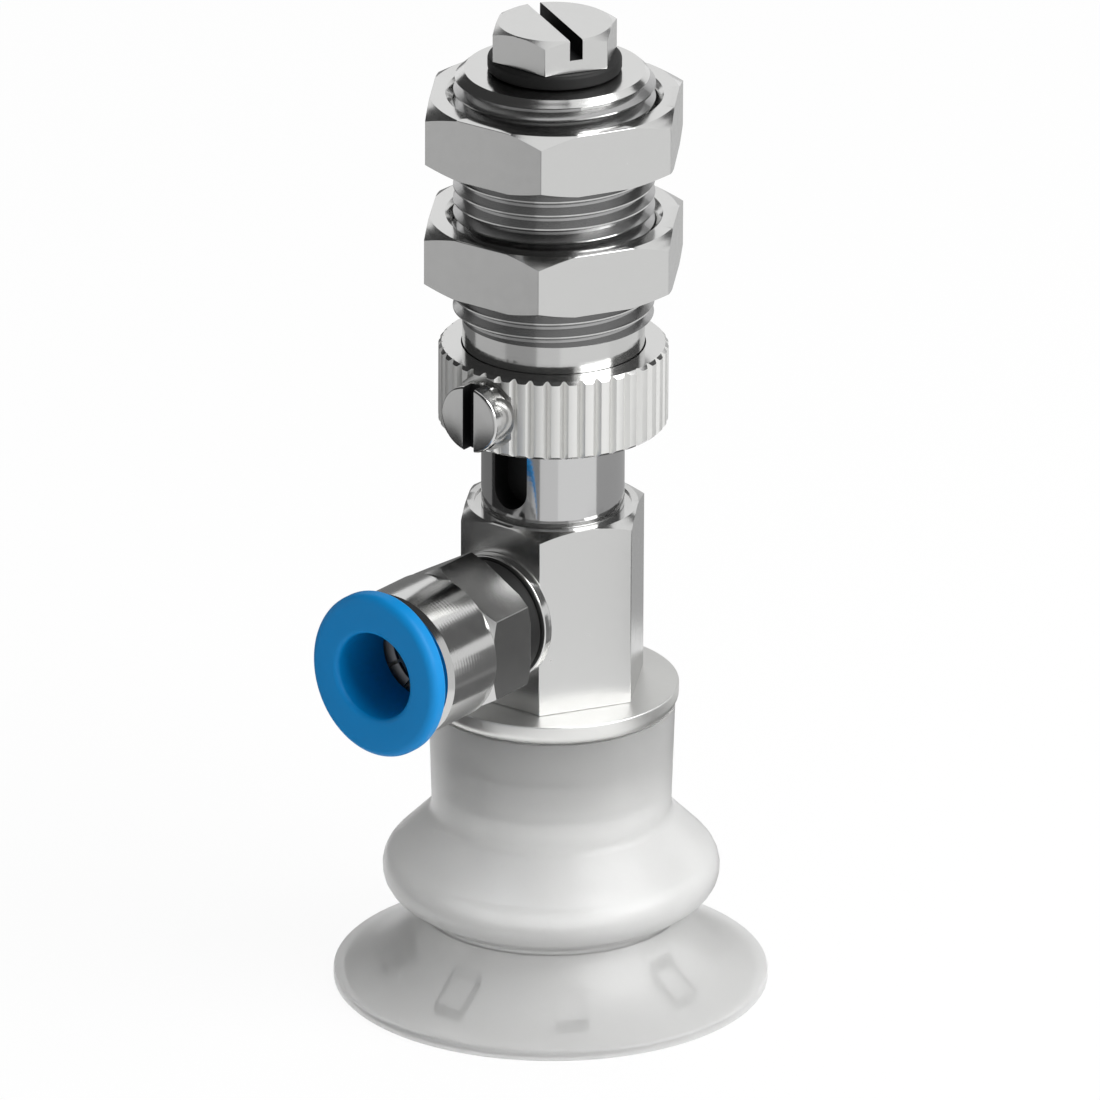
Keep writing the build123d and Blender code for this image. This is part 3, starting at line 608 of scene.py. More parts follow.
def finish_piece(piece, finish, body, slot, *nodes):
    """Shade a piece, give it its finish and its body, and hide the nodes it stands for. The slot is not used.
    """
    select_only(piece)
    start_edit()
    bpy.ops.mesh.remove_doubles(threshold=WELD)
    bpy.ops.object.mode_set(mode="OBJECT")
    bpy.ops.object.shade_smooth_by_angle(angle=SMOOTH_ANGLE)
    apply_modifier(piece, "WEIGHTED_NORMAL", keep_sharp=True)
    piece.data.materials.clear()
    piece.data.materials.append(material_of(finish))
    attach(piece, body)
    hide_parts(*nodes)


def cup_outline(sizes):
    """Outline of the bellows: the same curve drawn at two depths, from the lip's foot round to it again."""
    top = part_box("suction_cup")[1].z
    underside = 28.0
    shoulder = 45.0
    crest = Vector((sizes.fold_radius - sizes.fold_rounding, sizes.fold_height))
    outer_fold = arc(crest, sizes.fold_rounding, underside - 90, 90 - shoulder)
    inner_fold = arc(crest, sizes.fold_rounding - sizes.fold_wall, underside - 90, 90 - shoulder)

    def slope_foot(point, radius, slope):
        """Point where the straight wall beside a crest reaches a radius."""
        return Vector((radius, point.y + (point.x - radius) * math.tan(math.radians(slope))))

    groove = slope_foot(outer_fold[0], sizes.groove_radius, -underside)
    rim = Vector((sizes.rim_radius, sizes.rim_height))
    chord = rim - groove
    rise = math.sqrt(sizes.lip_curve**2 - chord.length_squared / 4)
    flare = (groove + rim) / 2 + Vector((-chord.y, chord.x)).normalized() * rise
    inner_curve = sizes.lip_curve + sizes.lip_wall
    inner_groove = groove + (groove - flare).normalized() * sizes.lip_wall
    lip_foot = Vector((flare.x - math.sqrt(inner_curve**2 - flare.y**2), 0))

    def flare_points(radius, start, end):
        """Points of the flare between two places."""
        angles = [math.degrees(math.atan2(*reversed(place - flare))) for place in (start, end)]
        return arc(flare, radius, angles[0] % 360, angles[1] % 360, 3 * ARC_STEPS)

    neck_bore = sizes.spigot_radius + SNUG
    barb = sizes.barb_radius + SNUG
    tip = top - sizes.spigot_length
    barb_foot = tip + sizes.barb_start
    barb_top = barb_foot + sizes.barb_length
    inner_neck = slope_foot(inner_fold[-1], sizes.neck_foot - sizes.neck_wall, shoulder)
    corners = [(sizes.rim_radius, 0, MOULDED_ROUNDING)]
    corners += [(sizes.rim_radius, sizes.rim_height, sizes.rim_rounding)]
    corners += [tuple(point) for point in flare_points(sizes.lip_curve, rim, groove)[2:-1]]
    corners += [(*groove, sizes.groove_rounding)]
    corners += [tuple(point) for point in outer_fold]
    corners += [(*slope_foot(outer_fold[-1], sizes.neck_foot, shoulder), sizes.neck_rounding)]
    corners += [(sizes.neck_top, top), (neck_bore, top), (neck_bore, barb_top + SNUG)]
    corners += [(barb, barb_top + SNUG), (barb, barb_top - sizes.barb_land), (neck_bore, barb_foot)]
    corners += [(neck_bore, tip), (inner_neck.x, tip, sizes.groove_rounding)]
    corners += [(*inner_neck, sizes.neck_rounding)]
    corners += [tuple(point) for point in reversed(inner_fold)]
    corners += [(*slope_foot(inner_fold[0], inner_groove.x, -underside), sizes.groove_rounding)]
    corners += [(*inner_groove, sizes.groove_rounding)]
    corners += [tuple(point) for point in flare_points(inner_curve, inner_groove, lip_foot)[2:]]
    return corners, flare, inner_curve


class GRIPPER_OT_cup(bpy.types.Operator):
    """Add the silicone bellows with the cleats under its lip"""

    bl_idname = "gripper.add_cup"
    bl_label = "Suction Cup"

    def execute(self, context):
        sizes = context.scene.gripper_cup
        outline, flare, inner_curve = cup_outline(sizes)
        cup = turned("silicone_bellows", outline)
        ribs = []
        for number in range(sizes.cleats):
            angle = FULL_TURN * number / sizes.cleats
            middle = sizes.cleat_start + sizes.cleat_length / 2
            place = (middle * math.sin(angle), -middle * math.cos(angle), sizes.groove_radius / 2)
            size = (sizes.cleat_width, sizes.cleat_length, sizes.groove_radius)
            ribs.append(block(f"cleat_{number}", size, place, angle))
        bpy.ops.object.select_all(action="DESELECT")
        for rib in ribs:
            rib.select_set(True)
        context.view_layer.objects.active = ribs[0]
        bpy.ops.object.join()
        outer = arc(flare, inner_curve - sizes.cleat_root, 180, 260, 3 * ARC_STEPS)
        inner = arc(flare, inner_curve + sizes.cleat_depth, 260, 180, 3 * ARC_STEPS)
        combine(ribs[0], turned("cleat_section", outer + inner), "INTERSECT")
        depth = 20 * MM
        combine(ribs[0], block("floor_cut", (0.1, 0.1, depth), (0, 0, -depth / 2)), "DIFFERENCE")
        combine(cup, ribs[0], "UNION")
        finish_piece(cup, "silicone", "plunger", "milky_silicone", "suction_cup")
        return {"FINISHED"}


class GRIPPER_OT_plate(bpy.types.Operator):
    """Add the plate above the cup, with the barbed spigot in the cup's neck"""

    bl_idname = "gripper.add_plate"
    bl_label = "Cup Plate"

    def execute(self, context):
        sizes = context.scene.gripper_cup
        low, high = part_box("cup_plate")
        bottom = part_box("suction_cup")[1].z
        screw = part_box("cup_screw")
        head = (screw[1].x - screw[0].x) / 2 + 2 * SLIP
        head_seat = screw[0].z + sizes.plate_seat
        barb_foot = low.z + sizes.barb_start
        barb_top = barb_foot + sizes.barb_length
        outline = [
            (sizes.plate_hole, high.z), (high.x, high.z, DISC_ROUNDING),
            (high.x, bottom, sizes.plate_rounding),
            (sizes.spigot_radius, bottom), (sizes.spigot_radius, barb_top), (sizes.barb_radius, barb_top),
            (sizes.barb_radius, barb_top - sizes.barb_land), (sizes.spigot_radius, barb_foot),
            (sizes.spigot_radius, low.z), (head, low.z), (head, head_seat), (sizes.plate_hole, head_seat),
        ]
        plate = turned("flange_plate", outline)
        finish_piece(plate, "plated_satin", "plunger", "nickel_plated_brass", "cup_plate")
        return {"FINISHED"}


class GRIPPER_OT_body(bpy.types.Operator):
    """Add the hexagonal port body"""

    bl_idname = "gripper.add_body"
    bl_label = "Port Body"

    def execute(self, context):
        sizes = context.scene.gripper_body
        low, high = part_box("port_body")
        stub = sizes.stub_radius + SLIP
        recess = sizes.rod_radius + sizes.recess_margin
        recess_floor = high.z - sizes.recess_depth
        stub_floor = recess_floor - sizes.stub_length - SLIP
        ends = turned_ends(sizes.body_flats, low.z, high.z, 0, sizes.body_drop, stub)
        ends[-1:] = [
            (recess, high.z), (recess, recess_floor), (stub, recess_floor), (stub, stub_floor),
            (sizes.passage_radius, stub_floor),
        ]
        ends[0] = (sizes.passage_radius, low.z)
        body = hexagon_bar("hexagon_body", sizes.body_flats, low.z, high.z)
        combine(body, turned("body_ends", ends), "INTERSECT")
        middle = (0, -(sizes.thread_start + sizes.body_flats / 4), PORT_HEIGHT)
        port = crosswise("port_hole", sizes.thread_radius + SLIP, sizes.body_flats / 2, middle)
        combine(body, port, "DIFFERENCE")
        finish_piece(body, "plated_flat", "plunger", "nickel_plated_brass", "port_body")
        second_finish(body, "plated", lambda place, normal: abs(normal.z) > END_FACE)
        return {"FINISHED"}


class GRIPPER_OT_rod(bpy.types.Operator):
    """Add the ground plunger rod with its keyway"""

    bl_idname = "gripper.add_rod"
    bl_label = "Plunger Rod"

    def execute(self, context):
        sizes = context.scene.gripper_body
        low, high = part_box("plunger_rod")
        foot = low.z + sizes.stub_length
        tapped_floor = high.z - sizes.tapped_depth
        outline = [
            (0, low.z), (sizes.stub_radius, low.z), (sizes.stub_radius, foot),
            (sizes.rod_radius, foot, EDGE_ROUNDING), (sizes.rod_radius, sizes.rod_top - sizes.rod_chamfer),
            (sizes.rod_radius - sizes.rod_chamfer, sizes.rod_top), (sizes.stem_radius, sizes.rod_top),
            (sizes.stem_radius, high.z), (sizes.tapped_radius, high.z), (sizes.tapped_radius, tapped_floor),
            (0, tapped_floor),
        ]
        rod = turned("keyed_rod", outline)
        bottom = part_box("port_body")[1].z + sizes.keyway_start
        top = GUIDE_HEIGHT + sizes.keyway_end
        half = sizes.keyway_width / 2
        across = -(sizes.rod_radius * 1.5 - sizes.keyway_depth)
        size = (sizes.keyway_width, sizes.rod_radius, top - bottom - sizes.keyway_width)
        cutter = block("keyway_cutter", size, (0, across, (top + bottom) / 2))
        for height in (bottom + half, top - half):
            end = crosswise("keyway_end", half, sizes.rod_radius, (0, across, height), sides=48)
            combine(cutter, end, "UNION")
        combine(rod, cutter, "DIFFERENCE")
        finish_piece(rod, "polished", "plunger", "polished_steel", "plunger_rod")
        keyway_floor = -(sizes.rod_radius - sizes.keyway_depth)
        inside = sizes.rod_radius * 0.98    # leaves the rod's own surface out
        # The keyway's floor and walls take the slot finish, whose dark colour is painted shade
        second_finish(
            rod, "slot",
            lambda place, normal: place.y < keyway_floor + WELD and abs(place.x) < half + WELD
            and bottom - WELD < place.z < top + WELD and place.xy.length < inside,
        )
        return {"FINISHED"}


class GRIPPER_OT_collar(bpy.types.Operator):
    """Add the fluted guide collar with the flat that the guide screw sits on"""

    bl_idname = "gripper.add_collar"
    bl_label = "Guide Collar"

    def execute(self, context):
        sizes = context.scene.gripper_sleeve
        low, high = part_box("guide_collar")
        radius = high.x
        # Share of the flute's depth at each of the eight points of one flute and rib
        shares = (1.0, 0.5, 0.06, 0.0, 0.0, 0.0, 0.06, 0.5)
        collar = add_primitive(
            "fluted_collar", bpy.ops.mesh.primitive_circle_add, vertices=sizes.flutes * len(shares),
            radius=radius, fill_type="NGON", location=(0, 0, low.z),
        )
        bpy.ops.object.mode_set(mode="EDIT")
        for place, share in enumerate(shares):
            select_where(collar, "verts", lambda vert: vert.index % len(shares) == place)
            factor = 1 - share * sizes.flute_depth / radius
            bpy.ops.transform.resize(value=(factor, factor, 1), center_override=(0, 0, low.z))
        bpy.ops.mesh.select_all(action="SELECT")
        bpy.ops.mesh.extrude_region_move(TRANSFORM_OT_translate={"value": (0, 0, high.z - low.z)})
        end_edit()
        seat = low.z + sizes.collar_lip
        outer = radius + EDGE_ROUNDING
        envelope = [
            (sizes.collar_mouth, low.z), (outer - sizes.collar_chamfer, low.z),
            (outer, low.z + sizes.collar_chamfer), (outer, high.z - sizes.collar_chamfer),
            (outer - sizes.collar_chamfer, high.z), (sizes.collar_bore, high.z), (sizes.collar_bore, seat),
            (sizes.collar_mouth, seat),
        ]
        combine(collar, turned("collar_envelope", envelope), "INTERSECT")
        for hole, near in ((sizes.spot_radius, radius - sizes.spot_depth), (sizes.screw_radius, 0.0)):
            middle = (0, -(near + radius / 2 + WELD), GUIDE_HEIGHT)
            cutter = crosswise("screw_seat", hole, radius, middle)
            combine(collar, cutter, "DIFFERENCE")
        finish_piece(collar, "plated", "sleeve", "nickel_plated_steel", "guide_collar")
        flute_root = radius - 2 * sizes.flute_depth
        second_finish(
            collar, "plated_satin",
            lambda place, normal: place.xy.length > flute_root and abs(normal.z) < END_FACE,
        )
        return {"FINISHED"}


class GRIPPER_OT_guide_screw(bpy.types.Operator):
    """Add the slotted guide screw"""

    bl_idname = "gripper.add_guide_screw"
    bl_label = "Guide Screw"

    def execute(self, context):
        sizes = context.scene.gripper_sleeve
        low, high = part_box("guide_screw")
        face = -low.y
        tip = -high.y
        head = face - sizes.screw_head_height
        outline = [
            (0, tip), (sizes.screw_tip, tip, EDGE_ROUNDING),
            (sizes.screw_tip, tip + sizes.screw_tip_length),
            (sizes.screw_radius, tip + sizes.screw_tip_length), (sizes.screw_radius, head),
            (sizes.screw_head, head), (sizes.screw_head, face, sizes.screw_rounding), (0, face),
        ]
        screw = lay_on(turned("slotted_guide_screw", outline), GUIDE_HEIGHT)
        slot = block(
            "guide_slot", (sizes.slot_width, sizes.guide_slot_depth * 2, 2 * sizes.spot_radius),
            (0, low.y, GUIDE_HEIGHT),
        )
        combine(screw, slot, "DIFFERENCE")
        finish_piece(screw, "plated_port", "sleeve", "nickel_plated_steel", "guide_screw")
        middle = Vector((0, low.y, GUIDE_HEIGHT))
        # The slot's walls take the slot finish, whose dark colour is painted shade
        second_finish(
            screw, "slot",
            lambda place, normal: low.y + WELD < place.y < low.y + sizes.guide_slot_depth + WELD
            and (place - middle).xz.length < sizes.screw_head / 2,
        )
        return {"FINISHED"}


class GRIPPER_OT_sleeve(bpy.types.Operator):
    """Add the sleeve with its rolled thread"""

    bl_idname = "gripper.add_sleeve"
    bl_label = "Threaded Sleeve"

    def execute(self, context):
        sizes = context.scene.gripper_sleeve
        low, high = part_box("threaded_sleeve")
        crest = high.x
        root = crest - sizes.thread_depth
        sunk = root - sizes.thread_depth / 6
        start = sizes.relief_end - 2 * sizes.pitch
        ridge = add_primitive("thread_ridge", bpy.ops.mesh.primitive_plane_add, size=MM)
        tip = sizes.crest_width / 2
        flank = (sizes.pitch - sizes.root_width - sizes.crest_width) / 2
        base = tip + flank * (crest - sunk) / sizes.thread_depth
        corners = {
            (-1, -1): (sunk, 0, start - base), (-1, 1): (sunk, 0, start + base),
            (1, -1): (crest, 0, start - tip), (1, 1): (crest, 0, start + tip),
        }
        place_corners(ridge, MM / 2, corners, aside=1.0)
        wind(ridge, sizes.pitch, math.ceil((high.z - start) / sizes.pitch) + 2, steps=96)
        margin = 2 * sizes.pitch
        blank = [(0, low.z - margin), (root, low.z - margin), (root, high.z + margin), (0, high.z + margin)]
        sleeve = turned("rolled_thread_sleeve", blank)
        combine(sleeve, ridge, "UNION")
        relief = root - sizes.relief_drop
        thread_end = high.z - sizes.tip_length
        wall = high.z - sizes.end_wall
        envelope = [
            (sizes.bush_seat, low.z), (relief, low.z), (relief, sizes.relief_end),
            (crest - sizes.thread_depth / 2, sizes.relief_end),
            (crest, sizes.relief_end + sizes.thread_depth / 3), (crest, thread_end),
            (crest - sizes.tip_chamfer, high.z), (sizes.bush_bore, high.z), (sizes.bush_bore, wall),
            (sizes.sleeve_bore, wall), (sizes.sleeve_bore, sizes.bush_top),
            (sizes.bush_seat, sizes.bush_top),
        ]
        combine(sleeve, turned("sleeve_envelope", envelope), "INTERSECT")
        finish_piece(sleeve, "plated", "sleeve", "nickel_plated_steel", "threaded_sleeve")
        crest_edge = crest - sizes.thread_depth / 20
        # The flanks and roots take the thread finish, whose darker colour is painted shade
        second_finish(
            sleeve, "thread",
            lambda place, normal: relief - WELD < place.xy.length < crest_edge
            and sizes.relief_end < place.z < thread_end,
        )
        return {"FINISHED"}


class GRIPPER_OT_spring(bpy.types.Operator):
    """Add the spring round the stem"""

    bl_idname = "gripper.add_spring"
    bl_label = "Compression Spring"

    def execute(self, context):
        sizes = context.scene.gripper_sleeve
        low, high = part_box("compression_spring")
        wire = sizes.wire_radius
        coil = add_primitive(
            "coiled_spring", bpy.ops.mesh.primitive_circle_add, vertices=20, radius=wire,
            location=(high.x - wire, 0, low.z + wire), rotation=LYING,
        )
        wind(coil, (high.z - low.z - 2 * wire) / sizes.coils, sizes.coils, steps=56)
        finish_piece(coil, "spring", "plunger", "spring_steel", "compression_spring")
        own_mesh(coil)
        return {"FINISHED"}


class GRIPPER_OT_nuts(bpy.types.Operator):
    """Add the two lock nuts"""

    bl_idname = "gripper.add_nuts"
    bl_label = "Lock Nuts"

    def execute(self, context):
        sizes = context.scene.gripper_sleeve
        for place, turn in (("lower", sizes.lower_turn), ("upper", sizes.upper_turn)):
            node = f"{place}_lock_nut"
            low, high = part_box(node)
            nut = hexagon_bar(f"hexagon_nut_{place}", sizes.nut_flats, low.z, high.z, turn)
            mouth = sizes.nut_bore + sizes.nut_chamfer
            ends = turned_ends(sizes.nut_flats, low.z, high.z, sizes.nut_drop, sizes.nut_drop, mouth)
            ends.append((sizes.nut_bore, high.z - sizes.nut_chamfer))
            ends.append((sizes.nut_bore, low.z + sizes.nut_chamfer))
            combine(nut, turned("nut_ends", ends), "INTERSECT")
            finish_piece(nut, "plated_flat", f"{place}_nut", "nickel_plated_steel", node)
            second_finish(nut, "plated", lambda place, normal: abs(normal.z) > END_FACE)
        return {"FINISHED"}


class GRIPPER_OT_end_stop(bpy.types.Operator):
    """Add the slotted end stop and the damping washer under its head"""

    bl_idname = "gripper.add_end_stop"
    bl_label = "End Stop"

    def execute(self, context):
        sizes = context.scene.gripper_sleeve
        washer_low, washer_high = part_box("stop_washer")
        outline = [
            (sizes.shank_radius + SLIP, washer_low.z),
            (sizes.washer_radius, washer_low.z, sizes.washer_rounding),
            (sizes.washer_radius, washer_high.z, sizes.washer_rounding),
            (sizes.shank_radius + SLIP, washer_high.z),
        ]
        washer = turned("damping_washer", outline)
        finish_piece(washer, "rubber", "plunger", "black_rubber", "stop_washer")
        low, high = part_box("end_stop_screw")
        foot = washer_high.z
        head = hexagon_bar("slotted_head_screw", sizes.head_flats, foot, high.z, sizes.head_turn)
        ends = turned_ends(sizes.head_flats, foot, high.z, 0, sizes.head_drop, 0)
        combine(head, turned("head_ends", ends), "INTERSECT")
        top = foot + sizes.shank_radius / 3    # the shank goes a little into the head
        outline = [
            (0, low.z), (sizes.shank_radius, low.z, TIP_ROUNDING), (sizes.shank_radius, top),
            (0, top),
        ]
        shank = turned("shank", outline)
        combine(head, shank, "UNION")
        slot = block(
            "head_slot", (2 * sizes.head_flats, sizes.slot_width, 2 * sizes.head_slot_depth),
            (0, 0, high.z), -CORNER_ANGLE + sizes.head_turn,
        )
        combine(head, slot, "DIFFERENCE")
        finish_piece(head, "plated_flat", "plunger", "nickel_plated_steel", "end_stop_screw")
        floor_of_slot = high.z - sizes.head_slot_depth
        # The slot's floor and walls take the slot finish, whose dark colour is painted shade
        second_finish(
            head, "slot",
            lambda place, normal: floor_of_slot - WELD < place.z < high.z - WELD
            and place.xy.length < sizes.head_flats / 4,
        )
        return {"FINISHED"}


class GRIPPER_OT_fitting(bpy.types.Operator):
    """Add the push-in fitting with the washer and the seal behind it"""

    bl_idname = "gripper.add_fitting"
    bl_label = "Push-in Fitting"

    def execute(self, context):
        sizes = context.scene.gripper_body
        start, end, drop = sizes.hexagon_start, sizes.hexagon_end, sizes.fitting_drop
        hexagon = hexagon_bar("push_in_body", sizes.fitting_flats, start, end, CORNER_ANGLE)
        ends = turned_ends(sizes.fitting_flats, start, end, drop, drop, 0)
        combine(hexagon, turned("hexagon_ends", ends), "INTERSECT")
        overlap = end - FITTING_OVERLAP
        barrel = [
            (0, sizes.thread_start), (sizes.thread_radius, sizes.thread_start, TIP_ROUNDING),
            (sizes.thread_radius, sizes.washer_end), (sizes.pilot_radius, sizes.washer_end),
            (sizes.pilot_radius, overlap), (sizes.barrel_radius, overlap),
            (sizes.barrel_radius, sizes.barrel_end - sizes.barrel_chamfer),
            (sizes.barrel_radius - sizes.barrel_chamfer, sizes.barrel_end), (0, sizes.barrel_end),
        ]
        combine(hexagon, turned("barrel", barrel), "UNION")
        seal_start = sizes.tube_stop + sizes.seat_length
        socket = [
            (0, 0), (sizes.passage_radius, 0), (sizes.passage_radius, sizes.tube_stop),
            (sizes.tube_radius, sizes.tube_stop), (sizes.tube_radius, seal_start),
            (sizes.cavity_radius, seal_start), (sizes.cavity_radius, 2 * sizes.barrel_end),
            (0, 2 * sizes.barrel_end),
        ]
        combine(hexagon, turned("socket", socket), "DIFFERENCE")
        lay_on(hexagon, PORT_HEIGHT)
        finish_piece(hexagon, "plated_port", "plunger", "nickel_plated_brass", "fitting_body")
        # The hexagon's flats take the darker fitting finish, which is painted shade
        second_finish(
            hexagon, "fitting_flat",
            lambda place, normal: start < -place.y < end and abs(normal.y) < UPRIGHT
            and (place - Vector((0, place.y, PORT_HEIGHT))).length > sizes.cavity_radius + WELD,
        )
        # Each ring: its name, node, finish, slot, the radius that it fits over and its rounding
        rings = (
            ("port_washer_disc", "fitting_washer", "plated_port", "nickel_plated_steel",
             sizes.thread_radius, DISC_ROUNDING),
            ("port_seal_ring", "fitting_seal", "rubber", "black_rubber",
             sizes.pilot_radius, sizes.seal_rounding),
        )
        for name, node, finish, slot, bore, rounding in rings:
            low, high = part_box(node)
            outline = [
                (bore + SLIP, -high.y), (high.x, -high.y, rounding), (high.x, -low.y, rounding),
                (bore + SLIP, -low.y),
            ]
            ring = lay_on(turned(name, outline), PORT_HEIGHT)
            finish_piece(ring, finish, "plunger", slot, node)
        return {"FINISHED"}


class GRIPPER_OT_release_ring(bpy.types.Operator):
    """Add the blue oval ring that frees the tube"""

    bl_idname = "gripper.add_release_ring"
    bl_label = "Release Ring"

    def execute(self, context):
        sizes = context.scene.gripper_body
        low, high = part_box("release_ring")
        bore = sizes.tube_radius
        wide = high.x
        tall = (high.z - low.z) / 2
        nose = -high.y
        front = -low.y
        back = front - sizes.ring_flange
        outline = [
            (bore, nose), (bore + sizes.ring_wall, nose, MOULDED_ROUNDING), (bore + sizes.ring_wall, back),
            (wide, back, sizes.back_rounding), (wide, front, sizes.ring_rounding),
            (bore, front, sizes.mouth_rounding),
        ]
        ring = turned("blue_release_ring", outline)
        bpy.ops.object.mode_set(mode="EDIT")
        middle = (bore + wide) / 2
        select_where(ring, "verts", lambda vert: vert.co.xy.length > middle)
        bpy.ops.transform.resize(value=(1, tall / wide, 1), center_override=(0, 0, 0))
        bpy.ops.object.mode_set(mode="OBJECT")
        lay_on(ring, PORT_HEIGHT)
        finish_piece(ring, "blue", "release_ring", "blue_plastic", "release_ring")
        return {"FINISHED"}


class GRIPPER_OT_inner_pieces(bpy.types.Operator):
    """Give the pieces that stay as they are their finishes"""

    bl_idname = "gripper.finish_inner_pieces"
    bl_label = "Inner Pieces"

    def execute(self, context):
        finishes = {
            "cup_screw": "plated", "plate_seal": "rubber", "rod_seal": "rubber",
            "lower_guide_bush": "bronze", "upper_guide_bush": "bronze", "tube_seal": "rubber",
            "seal_spacer": "natural", "gripping_claw": "spring", "collet_bush": "natural",
        }
        for node, finish in finishes.items():
            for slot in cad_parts[node].material_slots:
                slot.material = material_of(finish)
        return {"FINISHED"}


# The photograph's view of the gripper
VIEW_AZIMUTH = math.radians(37.4)
VIEW_ELEVATION = math.radians(22.19)
VIEW_ROLL = math.radians(0.253)
VIEW_DISTANCE = 1175.4 * MM
VIEW_HEIGHT = 32.23 * MM      # height on the gripper's axis that lies in the middle of the picture
VIEW_OFFSET = 0.178 * MM      # how far the axis lies to the right of the middle
VIEW_LENS = 551.4             # millimetres, for a sensor 36 mm wide
VIEW_SENSOR = 36.0

# The studio's light
WORLD_STRENGTH = 0.42         # soft light from all round
FLOOR_WHITENESS = 0.93        # the rest of the floor takes the gripper's shadow


# Each row of cards: name, shade, distance and lower and upper edge in millimetres, azimuths in degrees
STUDIO_CARDS = (
    ("back_left_low", 0.2, 66, -1, 60, -180, -112),
    ("left_near", 0.03, 30, -1, 29, -104, -50),
    ("left_low", 0.03, 66, -1, 20, -112, -60),
    ("left_middle", 0.6, 66, 20, 60, -112, -60),
    ("front_left_low", 0.26, 66, -1, 21, -60, -20),
    ("front_left_middle", 0.42, 66, 21, 60, -60, -20),
    ("front_low", 0.75, 66, -1, 60, -20, 8),
    ("front_right_low", 0.9, 66, -1, 60, 8, 72),
    ("fitting_near", 0.17, 20, 18.5, 30, 52, 80),
    ("right_near", 0.25, 43, -1, 13, 76, 112),
    ("right_low", 0.22, 66, -1, 9, 72, 130),
    ("right_middle", 0.42, 66, 9, 19, 72, 130),
    ("right_upper", 0.85, 66, 19, 44, 72, 130),
    ("right_top", 0.1, 66, 44, 60, 72, 130),
    ("back_right_low", 0.42, 66, -1, 22, 130, 180),
    ("back_right_upper", 0.6, 66, 22, 60, 130, 180),
    ("left_high", 0.05, 360, 60, 1200, -150, 26),
    ("front_high", 0.05, 360, 240, 1200, 26, 36),
    ("right_high", 0.1, 360, 60, 290, 76, 140),
    ("back_right_high", 0.05, 360, 240, 700, 142, 172),
)
CARD_STEP = 20                # degrees that one card of a row covers at most
CARD_ASIDE = 10               # metres, further out than any card stands

# Grey cards that lie on the floor, for the underside of the fitting. Azimuths in degrees
FLOOR_CARD_SHADE = 0.15
FLOOR_CARD_HEIGHT = 1 * MM
FLOOR_CARD_EDGES = (17 * MM, 52 * MM)
FLOOR_CARD_STARTS = (80, 114, 148)
FLOOR_CARD_TURN = 34


def around(azimuth, elevation, distance, height=VIEW_HEIGHT):
    """Place at an azimuth from the camera's own, at an elevation and distance from the gripper."""
    turn = VIEW_AZIMUTH + math.radians(azimuth)
    rise = math.radians(elevation)
    return Vector((
        distance * math.sin(turn) * math.cos(rise), -distance * math.cos(turn) * math.cos(rise),
        distance * math.sin(rise) + height,
    ))


def add_lamp(name, azimuth, elevation, distance, width, depth, power, mirrored):
    """Add a softbox that faces the gripper: angles in degrees, sizes in metres, power in watts."""
    bpy.ops.object.select_all(action="DESELECT")
    bpy.ops.object.light_add(type="AREA")
    lamp = bpy.context.object
    lamp.name = name
    lamp.data.shape = "RECTANGLE"
    lamp.data.size = width
    lamp.data.size_y = depth
    lamp.data.energy = power
    lamp.visible_glossy = mirrored
    lamp.location = around(azimuth, elevation, distance)
    lamp.rotation_euler = (Vector((0, 0, VIEW_HEIGHT)) - lamp.location).to_track_quat("-Z", "Y").to_euler()


def add_card(name, shade, corners):
    """Add a card that only metal and gloss mirror, as a studio's flags do: four corners, one shade."""
    card = add_primitive(name, bpy.ops.mesh.primitive_plane_add, size=2.0)
    signs = ((-1, -1), (1, -1), (1, 1), (-1, 1))
    place_corners(card, 1.0, dict(zip(signs, corners)), CARD_ASIDE)
    for ray in ("camera", "diffuse", "transmission", "shadow"):
        setattr(card, f"visible_{ray}", False)
    material, tree, place = start_material(f"{name}_felt")
    glow = add_node(tree, "ShaderNodeEmission", inputs={"Color": (shade, shade, shade, 1.0), "Strength": 1.0})
    add_node(tree, "ShaderNodeOutputMaterial", links={"Surface": glow.outputs["Emission"]})
    card.data.materials.append(material)


def stand_cards(name, shade, radius, low, high, start, end):
    """Stand a row of cards round the gripper between two azimuths from the camera's own, in degrees."""
    count = math.ceil((end - start) / CARD_STEP)
    for number in range(count):
        first = start + (end - start) * number / count
        last = start + (end - start) * (number + 1) / count
        corners = [
            around(first, 0, radius, low), around(last, 0, radius, low), around(last, 0, radius, high),
            around(first, 0, radius, high),
        ]
        add_card(f"{name}_{number}", shade, corners)


def seen_rays(tree):
    """Share of a light path that comes from the camera, or from gloss or glass that mirrors the studio."""
    path = add_node(tree, "ShaderNodeLightPath")
    total = path.outputs["Is Camera Ray"]
    for kind in ("Is Glossy Ray", "Is Transmission Ray"):
        links = {0: total, 1: path.outputs[kind]}
        total = add_node(tree, "ShaderNodeMath", {"operation": "MAXIMUM"}, links=links).outputs["Value"]
    return total


def mix_shaders(tree, share, plain, seen):
    """Mix two shaders by the share of a light path that shows the second one."""
    links = {0: share, 1: plain.outputs[0], 2: seen.outputs[0]}
    return add_node(tree, "ShaderNodeMixShader", links=links).outputs["Shader"]


